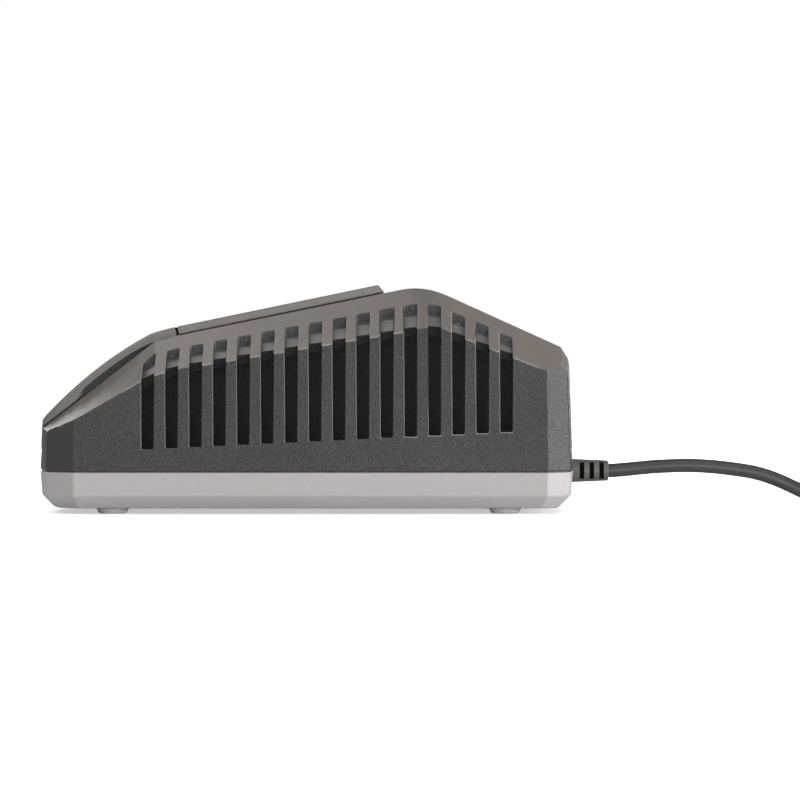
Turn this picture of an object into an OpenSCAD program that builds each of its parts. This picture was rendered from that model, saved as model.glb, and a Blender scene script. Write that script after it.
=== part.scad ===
// Slide-pack battery charger for cordless tools: a light base tray, a dark vented
// housing, a sloping battery dock with T rails, the power supply inside and the mains lead.
// Axes: -X is the nose, +X the rear where the lead leaves, +Z up. The rubber feet stand on z = 0.

/* [Body] */
// Overall length, nose to rear wall
body_l = 209.6; // [203:0.1:214]
// Overall width
body_w = 124; // [120:1:130]
// Height of the joint between the base tray and the housing
parting_z = 16; // [15.6:0.1:17]
// Wall of the housing
wall = 3; // [2.4:0.1:3.2]
// Wall of the base tray
tray_wall = 2.6; // [2.2:0.1:2.8]
// Draft of the moulded walls, degrees
draft = 2; // [1:0.1:2.2]
// How far the nose wall bows forward of its corner facets
nose_bow = 5.7; // [3:0.1:7]
// How far the rear wall bows back from its corner facets
rear_bow = 2.6; // [1:0.1:4]
// Corner facet at the nose, measured along X and Y
nose_facet = 11.5; // [8:0.5:13]
// Corner facet at the rear, measured along X and Y
rear_facet = 9; // [6:0.5:11]

/* [Vents] */
// Number of vent slots in each side
vent_count = 16; // [8:1:16]
// Distance from one slot to the next
vent_pitch = 9.1; // [8.6:0.1:9.4]
// Slot width at its foot
vent_w = 4.4; // [3.6:0.1:5]
// Place of the first slot along X
vent_x = -59.2; // [-61:0.1:-57]
// Depth of the step over each slot, under the shoulder
ledge_drop = 4.4; // [3.6:0.1:4.8]

/* [Dock] */
// Slope of the battery dock, degrees
dock_angle = 11.7; // [11:0.1:12]
// Height of the dock's cheeks above the table, over the middle of the body
dock_z = 78.5; // [78:0.1:79]
// Half width of the dock between its cheeks
dock_half = 36.5; // [36:0.1:37]
// Half width across the rails' outer flanges
rail_half = 31.5; // [31:0.1:32]
// Thickness of a rail's flange
flange_t = 3.3; // [3:0.1:3.6]
// Height of the flange's underside above the cheeks
flange_lift = 0.5; // [0.3:0.1:0.8]
// Depth of the dock's floor below the cheeks
dock_depth = 4.2; // [4:0.1:4.4]
// Wall of the rails' webs
web_t = 5; // [4:0.5:6]

/* [Feet] */
// Rubber foot diameter where it meets the tray
foot_d = 13.2; // [11:0.1:15]
// Height of the tray above the table
foot_h = 2.2; // [1.8:0.1:3]
// Place of the front feet along X
foot_front_x = -73.6; // [-76:0.1:-70]
// Place of the rear feet along X
foot_rear_x = 77.2; // [74:0.1:80]
// Place of the feet from the middle, along Y
foot_y = 46; // [42:0.5:47]

/* [Fan] */
// Side of the fan's square frame
fan_side = 40; // [40:1:40]
// Depth of the fan's frame
fan_t = 10; // [10:1:10]
// Number of fan blades
blade_count = 7; // [5:2:9]

/* [Cord] */
// Diameter of the mains cord
cord_d = 5.6; // [5.4:0.1:6]
// Height of the strain relief's axis
cord_z = 15.6; // [15.4:0.1:15.8]

/* [Hidden] */

// Colours of the real finishes
dark_grey = [0.29, 0.285, 0.285];
light_grey = [0.68, 0.665, 0.67];
black_plastic = [0.09, 0.09, 0.09];
board_green = [0.1, 0.33, 0.17];
copper = [0.72, 0.43, 0.2];
steel = [0.7, 0.71, 0.72];
ferrite = [0.2, 0.2, 0.21];
sleeve_blue = [0.12, 0.2, 0.42];

round_fn = 48;
small_fn = 32;
eps = 0.01;

half_l = body_l / 2;
half_w = body_w / 2;
slope = tan(dock_angle);
draft_run = tan(draft);

function unit(v) = v / norm(v);

// ---------------------------------------------------------------- outline in plan

nose_y = half_w - nose_facet;
rear_y = half_w - rear_facet;
bow_steps = 5;

// Half of the outline, from the middle of the nose wall to the middle of the rear wall
half_outline = concat(
    [for (i = [0 : bow_steps]) let (y = nose_y * i / bow_steps)
        [-half_l + nose_bow * pow(y / nose_y, 2), y]],
    [[-half_l + nose_bow + nose_facet, half_w], [half_l - rear_bow - rear_facet, half_w]],
    [for (i = [bow_steps : -1 : 0]) let (y = rear_y * i / bow_steps)
        [half_l - rear_bow * pow(y / rear_y, 2), y]]
);
// The other half, without the two points that lie on the middle line
last_point = len(half_outline) - 1;
body_outline = concat(half_outline,
    [for (i = [last_point - 1 : -1 : 1]) [half_outline[i][0], -half_outline[i][1]]]);

// Unit vector square to an edge of the outline, pointing inwards
function inward(i) = let (
    n = len(body_outline),
    d = unit(body_outline[(i + 1) % n] - body_outline[(i + n) % n])) [d[1], -d[0]];
// The outline with every edge drawn in by d
function inset_outline(d) = [for (i = [0 : len(body_outline) - 1]) let (
    n = len(body_outline),
    a = inward((i + n - 1) % n),
    b = inward(i)) body_outline[i] + d * (a + b) / (1 + a * b)];

module plan(inset = 0) {
    polygon(inset_outline(inset));
}

// A solid on the outline from z0 up by h, whose walls lean in by the given run
module drafted(z0, h, inset, lean) {
    rings = [for (k = [0, 1]) [for (p = inset_outline(inset + k * lean)) [p[0], p[1], z0 + k * h]]];
    n = len(body_outline);
    sides = [for (j = [0 : n - 1]) [j, (j + 1) % n, n + (j + 1) % n, n + j]];
    polyhedron(points = [for (r = rings) each r], convexity = 4,
        faces = concat(sides, [[for (j = [n - 1 : -1 : 0]) j]], [[for (j = [0 : n - 1]) n + j]]));
}

// ---------------------------------------------------------------- form of the housing

// Where the shoulder leaves the side wall: place along X and height
break_line = [
    [-106, 26.2], [-97, 29.9], [-92, 33.3], [-87.6, 36], [-75.7, 42.8], [-63.5, 50.2],
    [-56, 53.4], [-45.6, 55.7], [50.4, 71.1], [92.9, 54.8], [106, 49.8]
];
// Half width of the flat top between the shoulders
edge_line = [
    [-106, 34.5], [-80, 35.5], [-57.6, 41.5], [-47, 42.5], [30, 38.2], [46, 38.2],
    [92.9, 44.6], [106, 46.4]
];
// Half width at which break_line holds
break_half = half_w - 1.4;

function quad_bezier(a, b, c, n) =
    [for (i = [0 : n]) let (t = i / n, s = 1 - t) s * s * a + 2 * s * t * b + t * t * c];

// The crest of the top, rounded between the dock's slope and the rear slope
rear_fall = 0.458;
crest_x = 46;
crest_z = dock_z + slope * crest_x;
crest_run = 9;
crest_steps = 6;
crest = quad_bezier(
    [crest_x - crest_run, crest_z - crest_run * slope],
    [crest_x, crest_z],
    [crest_x + crest_run, crest_z - crest_run * rear_fall], crest_steps);

// Height of the flat top along X
top_line = concat(
    [[-106, 29.4], [-98, 35.5], [-57.6, 66.2], [-50, dock_z - 50 * slope]],
    crest,
    [[106, crest_z - rear_fall * (106 - crest_x)]]
);
stations = concat(
    [-106, -98, -92, -87.6, -80, -75.7, -69, -63.5, -57.6, -54, -50, -45.6, 0],
    [for (p = crest) p[0]],
    [70, 92.9, 106]
);
section_half = half_w + 2;

function top_at(x) = lookup(x, top_line);
function break_at(x) = lookup(x, break_line);
function edge_at(x) = lookup(x, edge_line);
// Fall of the shoulder per millimetre outwards
function shoulder_fall(x) = (top_at(x) - break_at(x)) / (break_half - edge_at(x));
// Height of the outer skin at a place on the shoulder
function skin_at(x, y) = top_at(x) - shoulder_fall(x) * (y - edge_at(x));

// How far the hollow's ceiling lies under the skin, at the walls and on top
skin_side_drop = 6.2;
skin_top_drop = 8.6;
// Height of the hollow's ceiling at a place under the shoulder
function room_at(x, y) = let (
    top_y = edge_at(x) - skin_top_drop / 4,
    top_z = top_at(x) - skin_top_drop,
    side_z = skin_at(x, section_half) - skin_side_drop)
    top_z - (top_z - side_z) * (y - top_y) / (section_half - top_y);

// Solid through a list of rings with the same number of points each
module skin(rings) {
    n = len(rings[0]);
    m = len(rings);
    points = [for (r = rings) each r];
    sides = [for (i = [0 : m - 2]) for (j = [0 : n - 1]) let (k = (j + 1) % n)
        each [[i * n + j, (i + 1) * n + k, i * n + k],
              [i * n + j, (i + 1) * n + j, (i + 1) * n + k]]];
    first_cap = [[for (j = [0 : n - 1]) j]];
    last_cap = [[for (j = [n - 1 : -1 : 0]) (m - 1) * n + j]];
    polyhedron(points = points, faces = concat(sides, first_cap, last_cap), convexity = 6);
}

// Loft of the cross-sections, let down by side_drop at the walls and top_drop on top
module section_loft(side_drop = 0, top_drop = 0, floor_z = 0) {
    skin([for (x = stations) let (
            side_z = skin_at(x, section_half) - side_drop,
            edge_y = edge_at(x) - top_drop / 4,
            top_z = top_at(x) - top_drop)
        [[x, -section_half, floor_z], [x, section_half, floor_z], [x, section_half, side_z],
         [x, edge_y, top_z], [x, -edge_y, top_z], [x, -section_half, side_z]]]);
}

// Chamfers over the rear wall: one across the back and one over each corner
rear_chamfer_x = 98.5;
rear_chamfer_z = crest_z - rear_fall * (rear_chamfer_x - crest_x);
rear_chamfer_angle = 57;
corner_chamfer_x = 97.9;
corner_chamfer_y = 57.1;
corner_chamfer_z = 56.7;
cutter = 80;

module rear_chamfers() {
    translate([rear_chamfer_x, 0, rear_chamfer_z])
        rotate([0, rear_chamfer_angle, 0])
            translate([-cutter / 2, -cutter, 0])
                cube([cutter * 2, cutter * 2, cutter]);
    for (side = [-1, 1])
        translate([corner_chamfer_x, side * corner_chamfer_y, corner_chamfer_z])
            rotate([0, 0, side * 23.3])
                rotate([0, 61.2, 0])
                    translate([-cutter / 2, -cutter / 2, 0])
                        cube(cutter);
}

// ---------------------------------------------------------------- nose hump

cover_t = 1.8;
nose_cover_half = 34;
nose_block_half = 31.4;
// Lower edge of the cover's front and of its seat
nose_foot_z = 29.55;
// Cheeks under the cover's front: where they end, the radius of their ends, and the gap below
cheek_x = -88.6;
cheek_r = 3.2;
cheek_gap = 0.7;
nose_end_x = -50.6;
nose_end_z = dock_z + slope * nose_end_x + flange_lift + flange_t;
// Curve of the nose, from its front edge up to the dock
nose_curve = concat(
    [[-105.5, 30.5], [-102.3, 35.3]],
    quad_bezier([-100.3, 37.9], [-81.6, 57.8], [-60.1, 69.2], 9),
    quad_bezier([-58.6, 69.7], [-56.2, 70.6], [nose_end_x, nose_end_z], 4)
);

// Unit normal of a curve at point i, to the left of its direction
function curve_normal(c, i) = let (
    d = unit(c[min(i + 1, len(c) - 1)] - c[max(i - 1, 0)])) [-d[1], d[0]];
function offset_curve(c, d) = [for (i = [0 : len(c) - 1]) c[i] + d * curve_normal(c, i)];
function reversed(c) = [for (i = [len(c) - 1 : -1 : 0]) c[i]];

// Extrudes an XZ profile across the body, from -half to half
module across(half) {
    rotate([90, 0, 0])
        translate([0, 0, -half])
            linear_extrude(height = 2 * half)
                children();
}

// Height of a curve at x, carried on straight past its end
function curve_at(c, x) = let (
    m = len(c) - 1,
    end_slope = (c[m][1] - c[m - 1][1]) / (c[m][0] - c[m - 1][0]))
    x > c[m][0] ? c[m][1] + end_slope * (x - c[m][0]) : lookup(x, c);

// Everything under the nose curve, let down by d and cut off behind at x_end
module under_nose(d, half, x_end, floor_z) {
    c = offset_curve(nose_curve, -d);
    across(half)
        polygon(concat([for (p = c) if (p[0] < x_end - 0.5) p],
            [[x_end, curve_at(c, x_end)], [x_end, floor_z], [c[0][0], floor_z]]));
}

// Plane square to the dock at which the nose cover ends
nose_cut = -50.9;
module behind_nose(gap) {
    on_dock()
        translate([nose_cut - gap, -60, -40])
            cube([80, 120, 100]);
}

// The same solid with a bevel along both edges, cut off by the plane at its rear
module nose_solid(half, bevel, bevel_h) {
    x_end = nose_end_x + 2;
    last = len(nose_curve) - 1;
    ring = function (y, d)
        let (c = offset_curve(nose_curve, -d))
        concat([for (p = c) [p[0], y, p[1]]],
            [[x_end, y, curve_at(c, x_end)], [x_end, y, nose_foot_z],
             [c[0][0], y, nose_foot_z]]);
    difference() {
        skin([ring(-half, bevel_h), ring(-half + bevel, 0), ring(half - bevel, 0),
              ring(half, bevel_h)]);
        behind_nose(0);
    }
}

// Everything above the nose curve let down by d: the seat for the cover
module over_nose(d, half) {
    c = offset_curve(nose_curve, -d);
    last = len(c) - 1;
    difference() {
        across(half)
            polygon(concat(c, [[nose_end_x + 4, curve_at(c, nose_end_x + 4)],
                [nose_end_x + 4, 100], [-half_l - 6, 100], [-half_l - 6, c[0][1]]]));
        behind_nose(-0.05);
    }
}

// Front part of the block, out to the cover's sides: round at its rear, with a gap under it
module nose_cheeks() {
    side_y = nose_cover_half - 0.1;
    rear_x = cheek_x + cheek_r;
    half_plan = concat([[-half_l - 4, side_y]],
        [for (a = [90 : -15 : 0])
            [cheek_x + cheek_r * cos(a), side_y - cheek_r + cheek_r * sin(a)]]);
    intersection() {
        under_nose(cover_t + 0.05, nose_cover_half, rear_x + 1, 20);
        linear_extrude(height = 100)
            polygon(concat(half_plan, [for (p = reversed(half_plan)) [p[0], -p[1]]]));
        across(nose_cover_half + 1)
            polygon(concat([[-half_l - 4, 100], [rear_x + 2, 100]],
                [for (x = [rear_x + 2, -98, -half_l - 4]) [x, top_at(x) + cheek_gap]]));
    }
}

// ---------------------------------------------------------------- vent slots

slot_inner = 52.9;
pocket_share = 0.62;
slot_foot_z = 24.9;
slot_foot_rise = 0.43;
slot_flare = 0.0065;
slot_out = half_w + 3;

// Half width of a slot at height z
function slot_half(z) = vent_w / 2 + slot_flare * (z - slot_foot_z);
// Inner face of the step over a slot
function pocket_at(x) = break_half - pocket_share * (break_half - edge_at(x));

// One slot: a way through the side wall with a stepped pocket up into the shoulder
module vent_slot(i) {
    xc = vent_x + vent_pitch * i;
    foot_z = slot_foot_z + slot_foot_rise * i;
    pocket_y = pocket_at(xc);
    ring = function (side)
        let (
            xs = xc + side * vent_w / 2,
            ledge_low = skin_at(xs, slot_inner) - ledge_drop,
            ledge_high = skin_at(xs, pocket_y) - ledge_drop,
            over = top_at(xs) + 3,
            yz = [[slot_inner, foot_z], [slot_inner, ledge_low], [pocket_y, ledge_high],
                  [pocket_y, over], [slot_out, over], [slot_out, foot_z]]
        )
        [for (p = yz) [xc + side * slot_half(p[1]), p[0], p[1]]];
    skin([ring(1), ring(-1)]);
}

module vent_slots() {
    for (i = [0 : vent_count - 1]) {
        vent_slot(i);
        mirror([0, 1, 0])
            vent_slot(i);
    }
}

// ---------------------------------------------------------------- dock frame

// Places children on the slope: +X up the slope, +Z off the cheeks, z = 0 at the cheeks
module on_dock() {
    translate([0, 0, dock_z])
        rotate([0, -dock_angle, 0])
            children();
}

plate_t = 2.2;
plate_front = -50.6;
plate_rear = 45;
plate_gap = 0.15;
dock_run_out = 62;
seat_margin = 4;
dock_screw_x = [-42, 29];
dock_screw_y = 34.4;

// ---------------------------------------------------------------- screws and bosses

boss_places = [[-86, 40], [-86, -40], [89.5, 41], [89.5, -41]];
boss_r = 4.2;
screw_r = 1.4;
screw_hole_r = 1.9;
head_r = 3;
board_posts = [[-66, 34], [-66, -43], [72, 34], [72, -43]];
board_z = 10.5;
board_t = 1.6;
board_front = -72;
board_rear = 78;
board_left = 39;
board_right = -48;
tray_floor = foot_h + 2.6;

// ---------------------------------------------------------------- fan

fan_x = 24;
fan_y = 48;
fan_z = 37.5;
fan_bore_r = 18.9;
fan_hub_r = 9;
fan_shaft_r = 1;
fan_fit = 0.05;

// Places children at the fan, whose axis runs across the body
module at_fan() {
    translate([fan_x, fan_y, fan_z])
        rotate([-90, 0, 0])
            children();
}

// ---------------------------------------------------------------- cord route

coil_x = 247;
coil_y = 40.4;
coil_turn_r = 32;
coil_rows = 4;
coil_layers = 2;
// Points of the cord from the strain relief to the coil
lead_route = [
    [118, 0, 15.6], [121, 0, 15.6], [125, 0, 15.9], [130, 0, 16.4], [136, 0, 17], [143, 0, 17.4],
    [150, 0, 17.6], [157, 0, 17.4], [164, 0, 16.8], [171, 0, 15.9], [177, 0, 14.9],
    [183, 0, 13.2], [189, 0, 10.8], [195, 0, 8], [201, 0, 5.4], [207, 0, 3.6], [213, 0, 2.8],
    [220, 0, 2.8], [226.2, 0, 2.8]
];
// Points of the cord from the coil to the plug
tail_route = [
    [206.6, 19, 8.6], [206.6, 12, 9.2], [206.6, 5, 9.7], [206.6, -2, 9.6], [206.8, -8, 8.8],
    [207.8, -14.8, 7.2], [210.3, -21, 5.4], [214.2, -26.2, 4], [219.6, -30.2, 3.6],
    [225.6, -32.6, 4.8], [232, -33.4, 6.8]
];
cord_sides = 10;

// Round tube swept along a route, with rings square to it
module tube(route, d, sides) {
    last = len(route) - 1;
    skin([for (i = [0 : last]) let (
            t = unit(route[min(i + 1, last)] - route[max(i - 1, 0)]),
            side = unit(cross([0, 0, 1], abs(t[2]) > 0.98 ? [1, 0, 0] : t)),
            up = cross(t, side))
        [for (k = [0 : sides - 1]) let (a = 360 * k / sides)
            route[i] + d / 2 * (cos(a) * side + sin(a) * up)]]);
}

// ================================================================ sub-parts

// ---------------------------------------------------------------- base tray

tray_lean = 0.6;
chamfer_z = 6.8;
chamfer_in = 4.6;
keyhole_x = 58;
keyhole_head_r = 4.5;
keyhole_slot_r = 2.25;
lip_in = 4.8;

module tray_outer(grow_z = 0) {
    translate([0, 0, parting_z])
        mirror([0, 0, 1])
            drafted(0, parting_z - chamfer_z, 0, tray_lean);
    translate([0, 0, chamfer_z])
        mirror([0, 0, 1])
            drafted(0, chamfer_z - foot_h, tray_lean, chamfer_in);
}

module tray_hollow() {
    translate([0, 0, parting_z + 1])
        mirror([0, 0, 1])
            drafted(0, parting_z + 1 - chamfer_z, tray_wall, tray_lean);
    translate([0, 0, chamfer_z + eps])
        mirror([0, 0, 1])
            drafted(0, chamfer_z + eps - tray_floor, tray_wall + tray_lean, chamfer_in * 0.43);
}

// Lip that the housing's skirt sits round
module tray_lip() {
    outline_wall(parting_z - 5, 5, 2, lip_in);
    outline_wall(parting_z - eps, 1.6, wall + 0.2, lip_in);
}

module floor_vents() {
    for (x = [-42 : 6 : 48])
        for (side = [-1, 1])
            translate([x, side * 17, foot_h - 1])
                linear_extrude(height = 6)
                    square([2.4, 22], center = true);
}

module keyholes() {
    for (side = [-1, 1])
        translate([side * keyhole_x, 0, foot_h - 1]) {
            cylinder(r = keyhole_head_r, h = 6, $fn = round_fn);
            translate([0, -keyhole_slot_r, 0])
                cube([10, 2 * keyhole_slot_r, 6]);
            translate([10, 0, 0])
                cylinder(r = keyhole_slot_r, h = 6, $fn = round_fn);
        }
}

module foot_places() {
    for (x = [foot_front_x, foot_rear_x])
        for (side = [-1, 1])
            translate([x, side * foot_y, 0])
                children();
}

// Grooved post that holds one edge of the fan
module fan_post(side) {
    difference() {
        translate([fan_x + side * (fan_side / 2 + 1) - 3, fan_y - 8, tray_floor - eps])
            cube([6, 16, 34]);
        translate([fan_x - fan_side / 2 - plate_gap, fan_y - fan_t / 2 - plate_gap,
                   fan_z - fan_side / 2])
            cube([fan_side + 2 * plate_gap, fan_t + 2 * plate_gap, fan_side]);
    }
}

module base_shell() {
    color(light_grey)
        difference() {
            union() {
                difference() {
                    tray_outer();
                    tray_hollow();
                }
                tray_lip();
                for (p = boss_places)
                    translate([p[0], p[1], foot_h + 1])
                        cylinder(r = boss_r, h = parting_z - foot_h - 1, $fn = round_fn);
                for (p = board_posts)
                    translate([p[0], p[1], foot_h + 1])
                        cylinder(r = 3, h = board_z - foot_h - 1, $fn = small_fn);
                for (side = [-1, 1])
                    fan_post(side);
                cord_cradle();
            }
            for (p = boss_places) {
                translate([p[0], p[1], 0])
                    cylinder(r = screw_hole_r, h = 30, $fn = round_fn);
                translate([p[0], p[1], 0])
                    cylinder(r = head_r + 0.4, h = 6, $fn = round_fn);
            }
            for (p = board_posts)
                translate([p[0], p[1], tray_floor])
                    cylinder(r = 1.05, h = 10, $fn = small_fn);
            floor_vents();
            keyholes();
            foot_places()
                cylinder(d = foot_d + 0.4, h = foot_h + 1, $fn = round_fn);
            relief_way();
        }
}

// ---------------------------------------------------------------- cord entry

relief_r = 4.65;
relief_end_r = 4.2;
relief_neck_r = 3.5;
relief_in_x = 98.6;
relief_flange_r = 6;
relief_flange_t = 2;
relief_end_x = 119.5;
relief_ring_w = 2;
relief_ring_pitch = 3.9;
relief_rings = 4;
relief_first_x = 105.8;
cradle_x = 86;
cradle_half = 9;

// Turns a profile of [distance along X, radius] about the cord's axis
module about_cord() {
    translate([0, 0, cord_z])
        rotate([0, 90, 0])
            rotate_extrude($fn = round_fn)
                children();
}

// Clearance for the strain relief in both shells
module relief_way() {
    translate([relief_in_x - 0.1, 0, cord_z])
        rotate([0, 90, 0]) {
            cylinder(r = relief_flange_r + 0.1, h = relief_flange_t + 0.2, $fn = round_fn);
            cylinder(r = relief_r + 0.05, h = 12, $fn = round_fn);
            translate([0, 0, -4])
                cylinder(r = cord_d / 2 + 0.15, h = 8, $fn = round_fn);
        }
}

// Wall of the tray that grips the strain relief, and the saddle under the clamp
module cord_cradle() {
    intersection() {
        translate([relief_in_x - 1.8, -cradle_half, tray_floor - eps])
            cube([8, 2 * cradle_half, parting_z - tray_floor + eps]);
        translate([0, 0, parting_z])
            mirror([0, 0, 1])
                drafted(0, parting_z, 1, tray_lean);
    }
    difference() {
        translate([cradle_x - 4, -11, tray_floor - eps])
            cube([8, 22, cord_z - cord_d / 2 - tray_floor + eps]);
        for (side = [-1, 1])
            translate([cradle_x, side * 8, tray_floor])
                cylinder(r = 1.2, h = 12, $fn = small_fn);
    }
}

// Ribs of the sleeve, as one profile of [radius, distance along X]
function relief_ring_x(i) = relief_first_x + relief_ring_pitch * i;
function relief_ring_r(i) = relief_r + (relief_end_r - relief_r) * i / (relief_rings - 1);
relief_profile = concat(
    [[cord_d / 2, relief_in_x], [relief_flange_r, relief_in_x],
     [relief_flange_r, relief_in_x + relief_flange_t], [relief_r, relief_in_x + relief_flange_t],
     [relief_r, relief_first_x - 0.4]],
    [for (i = [0 : relief_rings - 1]) each [
        [relief_ring_r(i), relief_ring_x(i) - (i == 0 ? 0.3 : 0)],
        [relief_ring_r(i), relief_ring_x(i) + relief_ring_w - (i == relief_rings - 1 ? 0.7 : 0)],
        [relief_neck_r, relief_ring_x(i) + relief_ring_w],
        if (i < relief_rings - 1) [relief_neck_r, relief_ring_x(i + 1)]]],
    [[cord_d / 2, relief_ring_x(relief_rings - 1) + relief_ring_w]]
);

module strain_relief() {
    color(black_plastic)
        about_cord()
            polygon(relief_profile);
}

module cord_clamp() {
    color(black_plastic)
        difference() {
            translate([cradle_x - 4, -11, cord_z - cord_d / 2])
                cube([8, 22, cord_d + 2.2]);
            translate([cradle_x - 5, 0, cord_z])
                rotate([0, 90, 0])
                    cylinder(d = cord_d, h = 10, $fn = round_fn);
            translate([cradle_x - 5, -cord_d / 2, cord_z - 10])
                cube([10, cord_d, 10]);
            for (side = [-1, 1])
                translate([cradle_x, side * 8, 0])
                    cylinder(r = 1.6, h = 40, $fn = small_fn);
        }
}

// A pan-head screw pointing down, its head resting on z = 0
module pan_screw(shank_r, length, cap_r, cap_h) {
    slot = 0.8;
    translate([0, 0, -length])
        cylinder(r = shank_r, h = length, $fn = small_fn);
    difference() {
        cylinder(r = cap_r, h = cap_h, $fn = small_fn);
        for (a = [0, 90])
            rotate([0, 0, a])
                translate([-cap_r * 0.55, -slot / 2, cap_h * 0.45])
                    cube([cap_r * 1.1, slot, cap_h]);
    }
}

module clamp_screws() {
    color(steel)
        for (side = [-1, 1])
            translate([cradle_x, side * 8, cord_z + cord_d / 2 + 2.2])
                pan_screw(1.15, 13, 2.4, 1.8);
}

// ---------------------------------------------------------------- housing

skirt_gap = 0.45;
skirt_in = 0.7;

module housing_outer() {
    reach = 80;
    difference() {
        intersection() {
            drafted(parting_z + skirt_gap, reach, 0, reach * draft_run);
            union() {
                section_loft();
                under_nose(cover_t + 0.05, nose_block_half, nose_end_x + 4, 20);
                nose_cheeks();
            }
        }
        over_nose(cover_t + 0.05, nose_cover_half + 0.05);
        rear_chamfers();
    }
    // Skirt that stands on the tray, set back for a shadow line
    outline_wall(parting_z, skirt_gap + eps, skirt_in, wall);
}

// A wall on the outline, between two insets
module outline_wall(z0, h, outer_in, inner_in) {
    translate([0, 0, z0])
        linear_extrude(height = h)
            difference() {
                plan(outer_in);
                plan(inner_in);
            }
}

module housing_hollow() {
    reach = 80;
    intersection() {
        drafted(parting_z - 1, reach, wall, (reach + 1) * draft_run);
        section_loft(skin_side_drop, skin_top_drop);
        rear_room();
    }
    intersection() {
        drafted(parting_z - 1, reach, wall, (reach + 1) * draft_run);
        under_nose(cover_t + 2.6, nose_block_half - 2.6, nose_end_x - 4, 20);
    }
}

// Keeps the hollow clear of the rear chamfers
module rear_room() {
    difference() {
        translate([-half_l, -half_w, 0])
            cube([body_l, body_w, 120]);
        translate([-5.2, 0, -3])
            rear_chamfers();
    }
}

// Channel of the dock, open to the rear, and the seat and window under the dock insert
module dock_channel() {
    on_dock() {
        translate([plate_front, -dock_half, -dock_depth])
            cube([plate_rear - plate_front + dock_run_out, 2 * dock_half, 30]);
        translate([plate_front, -dock_half, -dock_depth - plate_t])
            cube([plate_rear - plate_front + plate_gap, 2 * dock_half, 10]);
        translate([plate_front + seat_margin, -dock_half + seat_margin, -20])
            cube([plate_rear - plate_front - 2 * seat_margin, 2 * (dock_half - seat_margin), 30]);
    }
}

// Bosses for the screws from below, carried up to the skin
module housing_bosses() {
    intersection() {
        for (p = boss_places)
            translate([p[0], p[1], parting_z])
                cylinder(r = boss_r, h = 60, $fn = 24);
        difference() {
            section_loft(1, 2);
            rear_chamfers_inner();
        }
    }
}

module rear_chamfers_inner() {
    translate([-1.5, 0, -1])
        rear_chamfers();
}

// Places along the nose slope for the indicator windows
lens_x = -84.5;
lens_pitch = 13;
lens_count = 3;
lens_r = 3;
lens_tilt = 42;
function nose_height(x) = lookup(x, nose_curve);

module at_lenses() {
    for (i = [0 : lens_count - 1])
        translate([lens_x, (i - (lens_count - 1) / 2) * lens_pitch, nose_height(lens_x)])
            rotate([0, -lens_tilt, 0])
                children();
}

// The moulding before its bores
module moulding() {
    difference() {
        union() {
            difference() {
                housing_outer();
                housing_hollow();
            }
            housing_bosses();
            // Pegs that carry the indicator board
            at_indicator()
                for (side = [-1, 1])
                    translate([0, side * 18.5, 0])
                        cylinder(r = 2, h = 8, $fn = 24);
        }
        vent_slots();
        dock_channel();
    }
}

module top_housing() {
    color(dark_grey)
        difference() {
            // Held to the overall size of the case
            resize([body_l, body_w, 0])
                moulding();
            for (p = boss_places)
                translate([p[0], p[1], parting_z - 1])
                    cylinder(r = screw_r, h = 13, $fn = round_fn);
            on_dock()
                for (x = dock_screw_x)
                    for (side = [-1, 1])
                        translate([x, side * dock_screw_y, -12])
                            cylinder(r = 1.3, h = 12, $fn = small_fn);
            relief_way();
            at_lenses()
                translate([0, 0, -14])
                    cylinder(r = lens_r + 0.6, h = 20, $fn = round_fn);
        }
}

module nose_cover() {
    color(dark_grey)
        difference() {
            intersection() {
                drafted(parting_z + skirt_gap, 80, 0, 80 * draft_run);
                difference() {
                    nose_solid(nose_cover_half, 1.6, 1.3);
                    under_nose(cover_t, nose_cover_half + 1, nose_end_x + 10, 10);
                }
            }
            at_lenses()
                translate([0, 0, -10])
                    cylinder(r = lens_r + 0.05, h = 20, $fn = round_fn);
        }
}

module indicator_lenses() {
    color([0.9, 0.92, 0.9])
        at_lenses()
            translate([0, 0, -cover_t - 2])
                cylinder(r = lens_r, h = cover_t + 2, $fn = round_fn);
}

// ---------------------------------------------------------------- dock

rail_front = -50.2;
rail_rear = 31.5;
rail_nose_cut = 1.8;
web_inner = 21.5;
tower_x = -44;
tower_l = 14;
tower_half = 17;
blade_x = [-12, -6, 6, 12];

// Side view of a rail's flange, with its lead-in at the rear
flange_profile = [
    [rail_front, flange_lift], [rail_rear, flange_lift],
    [rail_rear - rail_nose_cut, flange_lift + flange_t], [rail_front, flange_lift + flange_t]
];

module rail() {
    // Web
    translate([rail_front, web_inner, -dock_depth - eps])
        cube([rail_rear - rail_nose_cut - rail_front, web_t, dock_depth + flange_lift + 1]);
    // Flange, reaching outwards over the groove
    translate([0, (web_inner + rail_half) / 2, 0])
        across((rail_half - web_inner) / 2)
            polygon(flange_profile);
}

module dock_insert() {
    color(dark_grey)
        on_dock()
            difference() {
                union() {
                    translate([plate_front + plate_gap, -dock_half + plate_gap,
                               -dock_depth - plate_t])
                        cube([plate_rear - plate_front - plate_gap,
                              2 * (dock_half - plate_gap), plate_t]);
                    rail();
                    mirror([0, 1, 0])
                        rail();
                }
                // Window for the terminal block
                translate([tower_x - plate_gap, -tower_half - plate_gap, -20])
                    cube([tower_l + 2 * plate_gap, 2 * (tower_half + plate_gap), 30]);
                for (x = dock_screw_x)
                    for (side = [-1, 1])
                        translate([x, side * dock_screw_y, -20])
                            cylinder(r = 1.3, h = 20, $fn = small_fn);
            }
}

// Screws from below into the dock insert
module dock_screws() {
    color(steel)
        on_dock()
            for (x = dock_screw_x)
                for (side = [-1, 1])
                    translate([x, side * dock_screw_y, -skin_top_drop * cos(dock_angle) - 0.05])
                        mirror([0, 0, 1])
                            pan_screw(1.25, 4, 2, 1.6);
}

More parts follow.
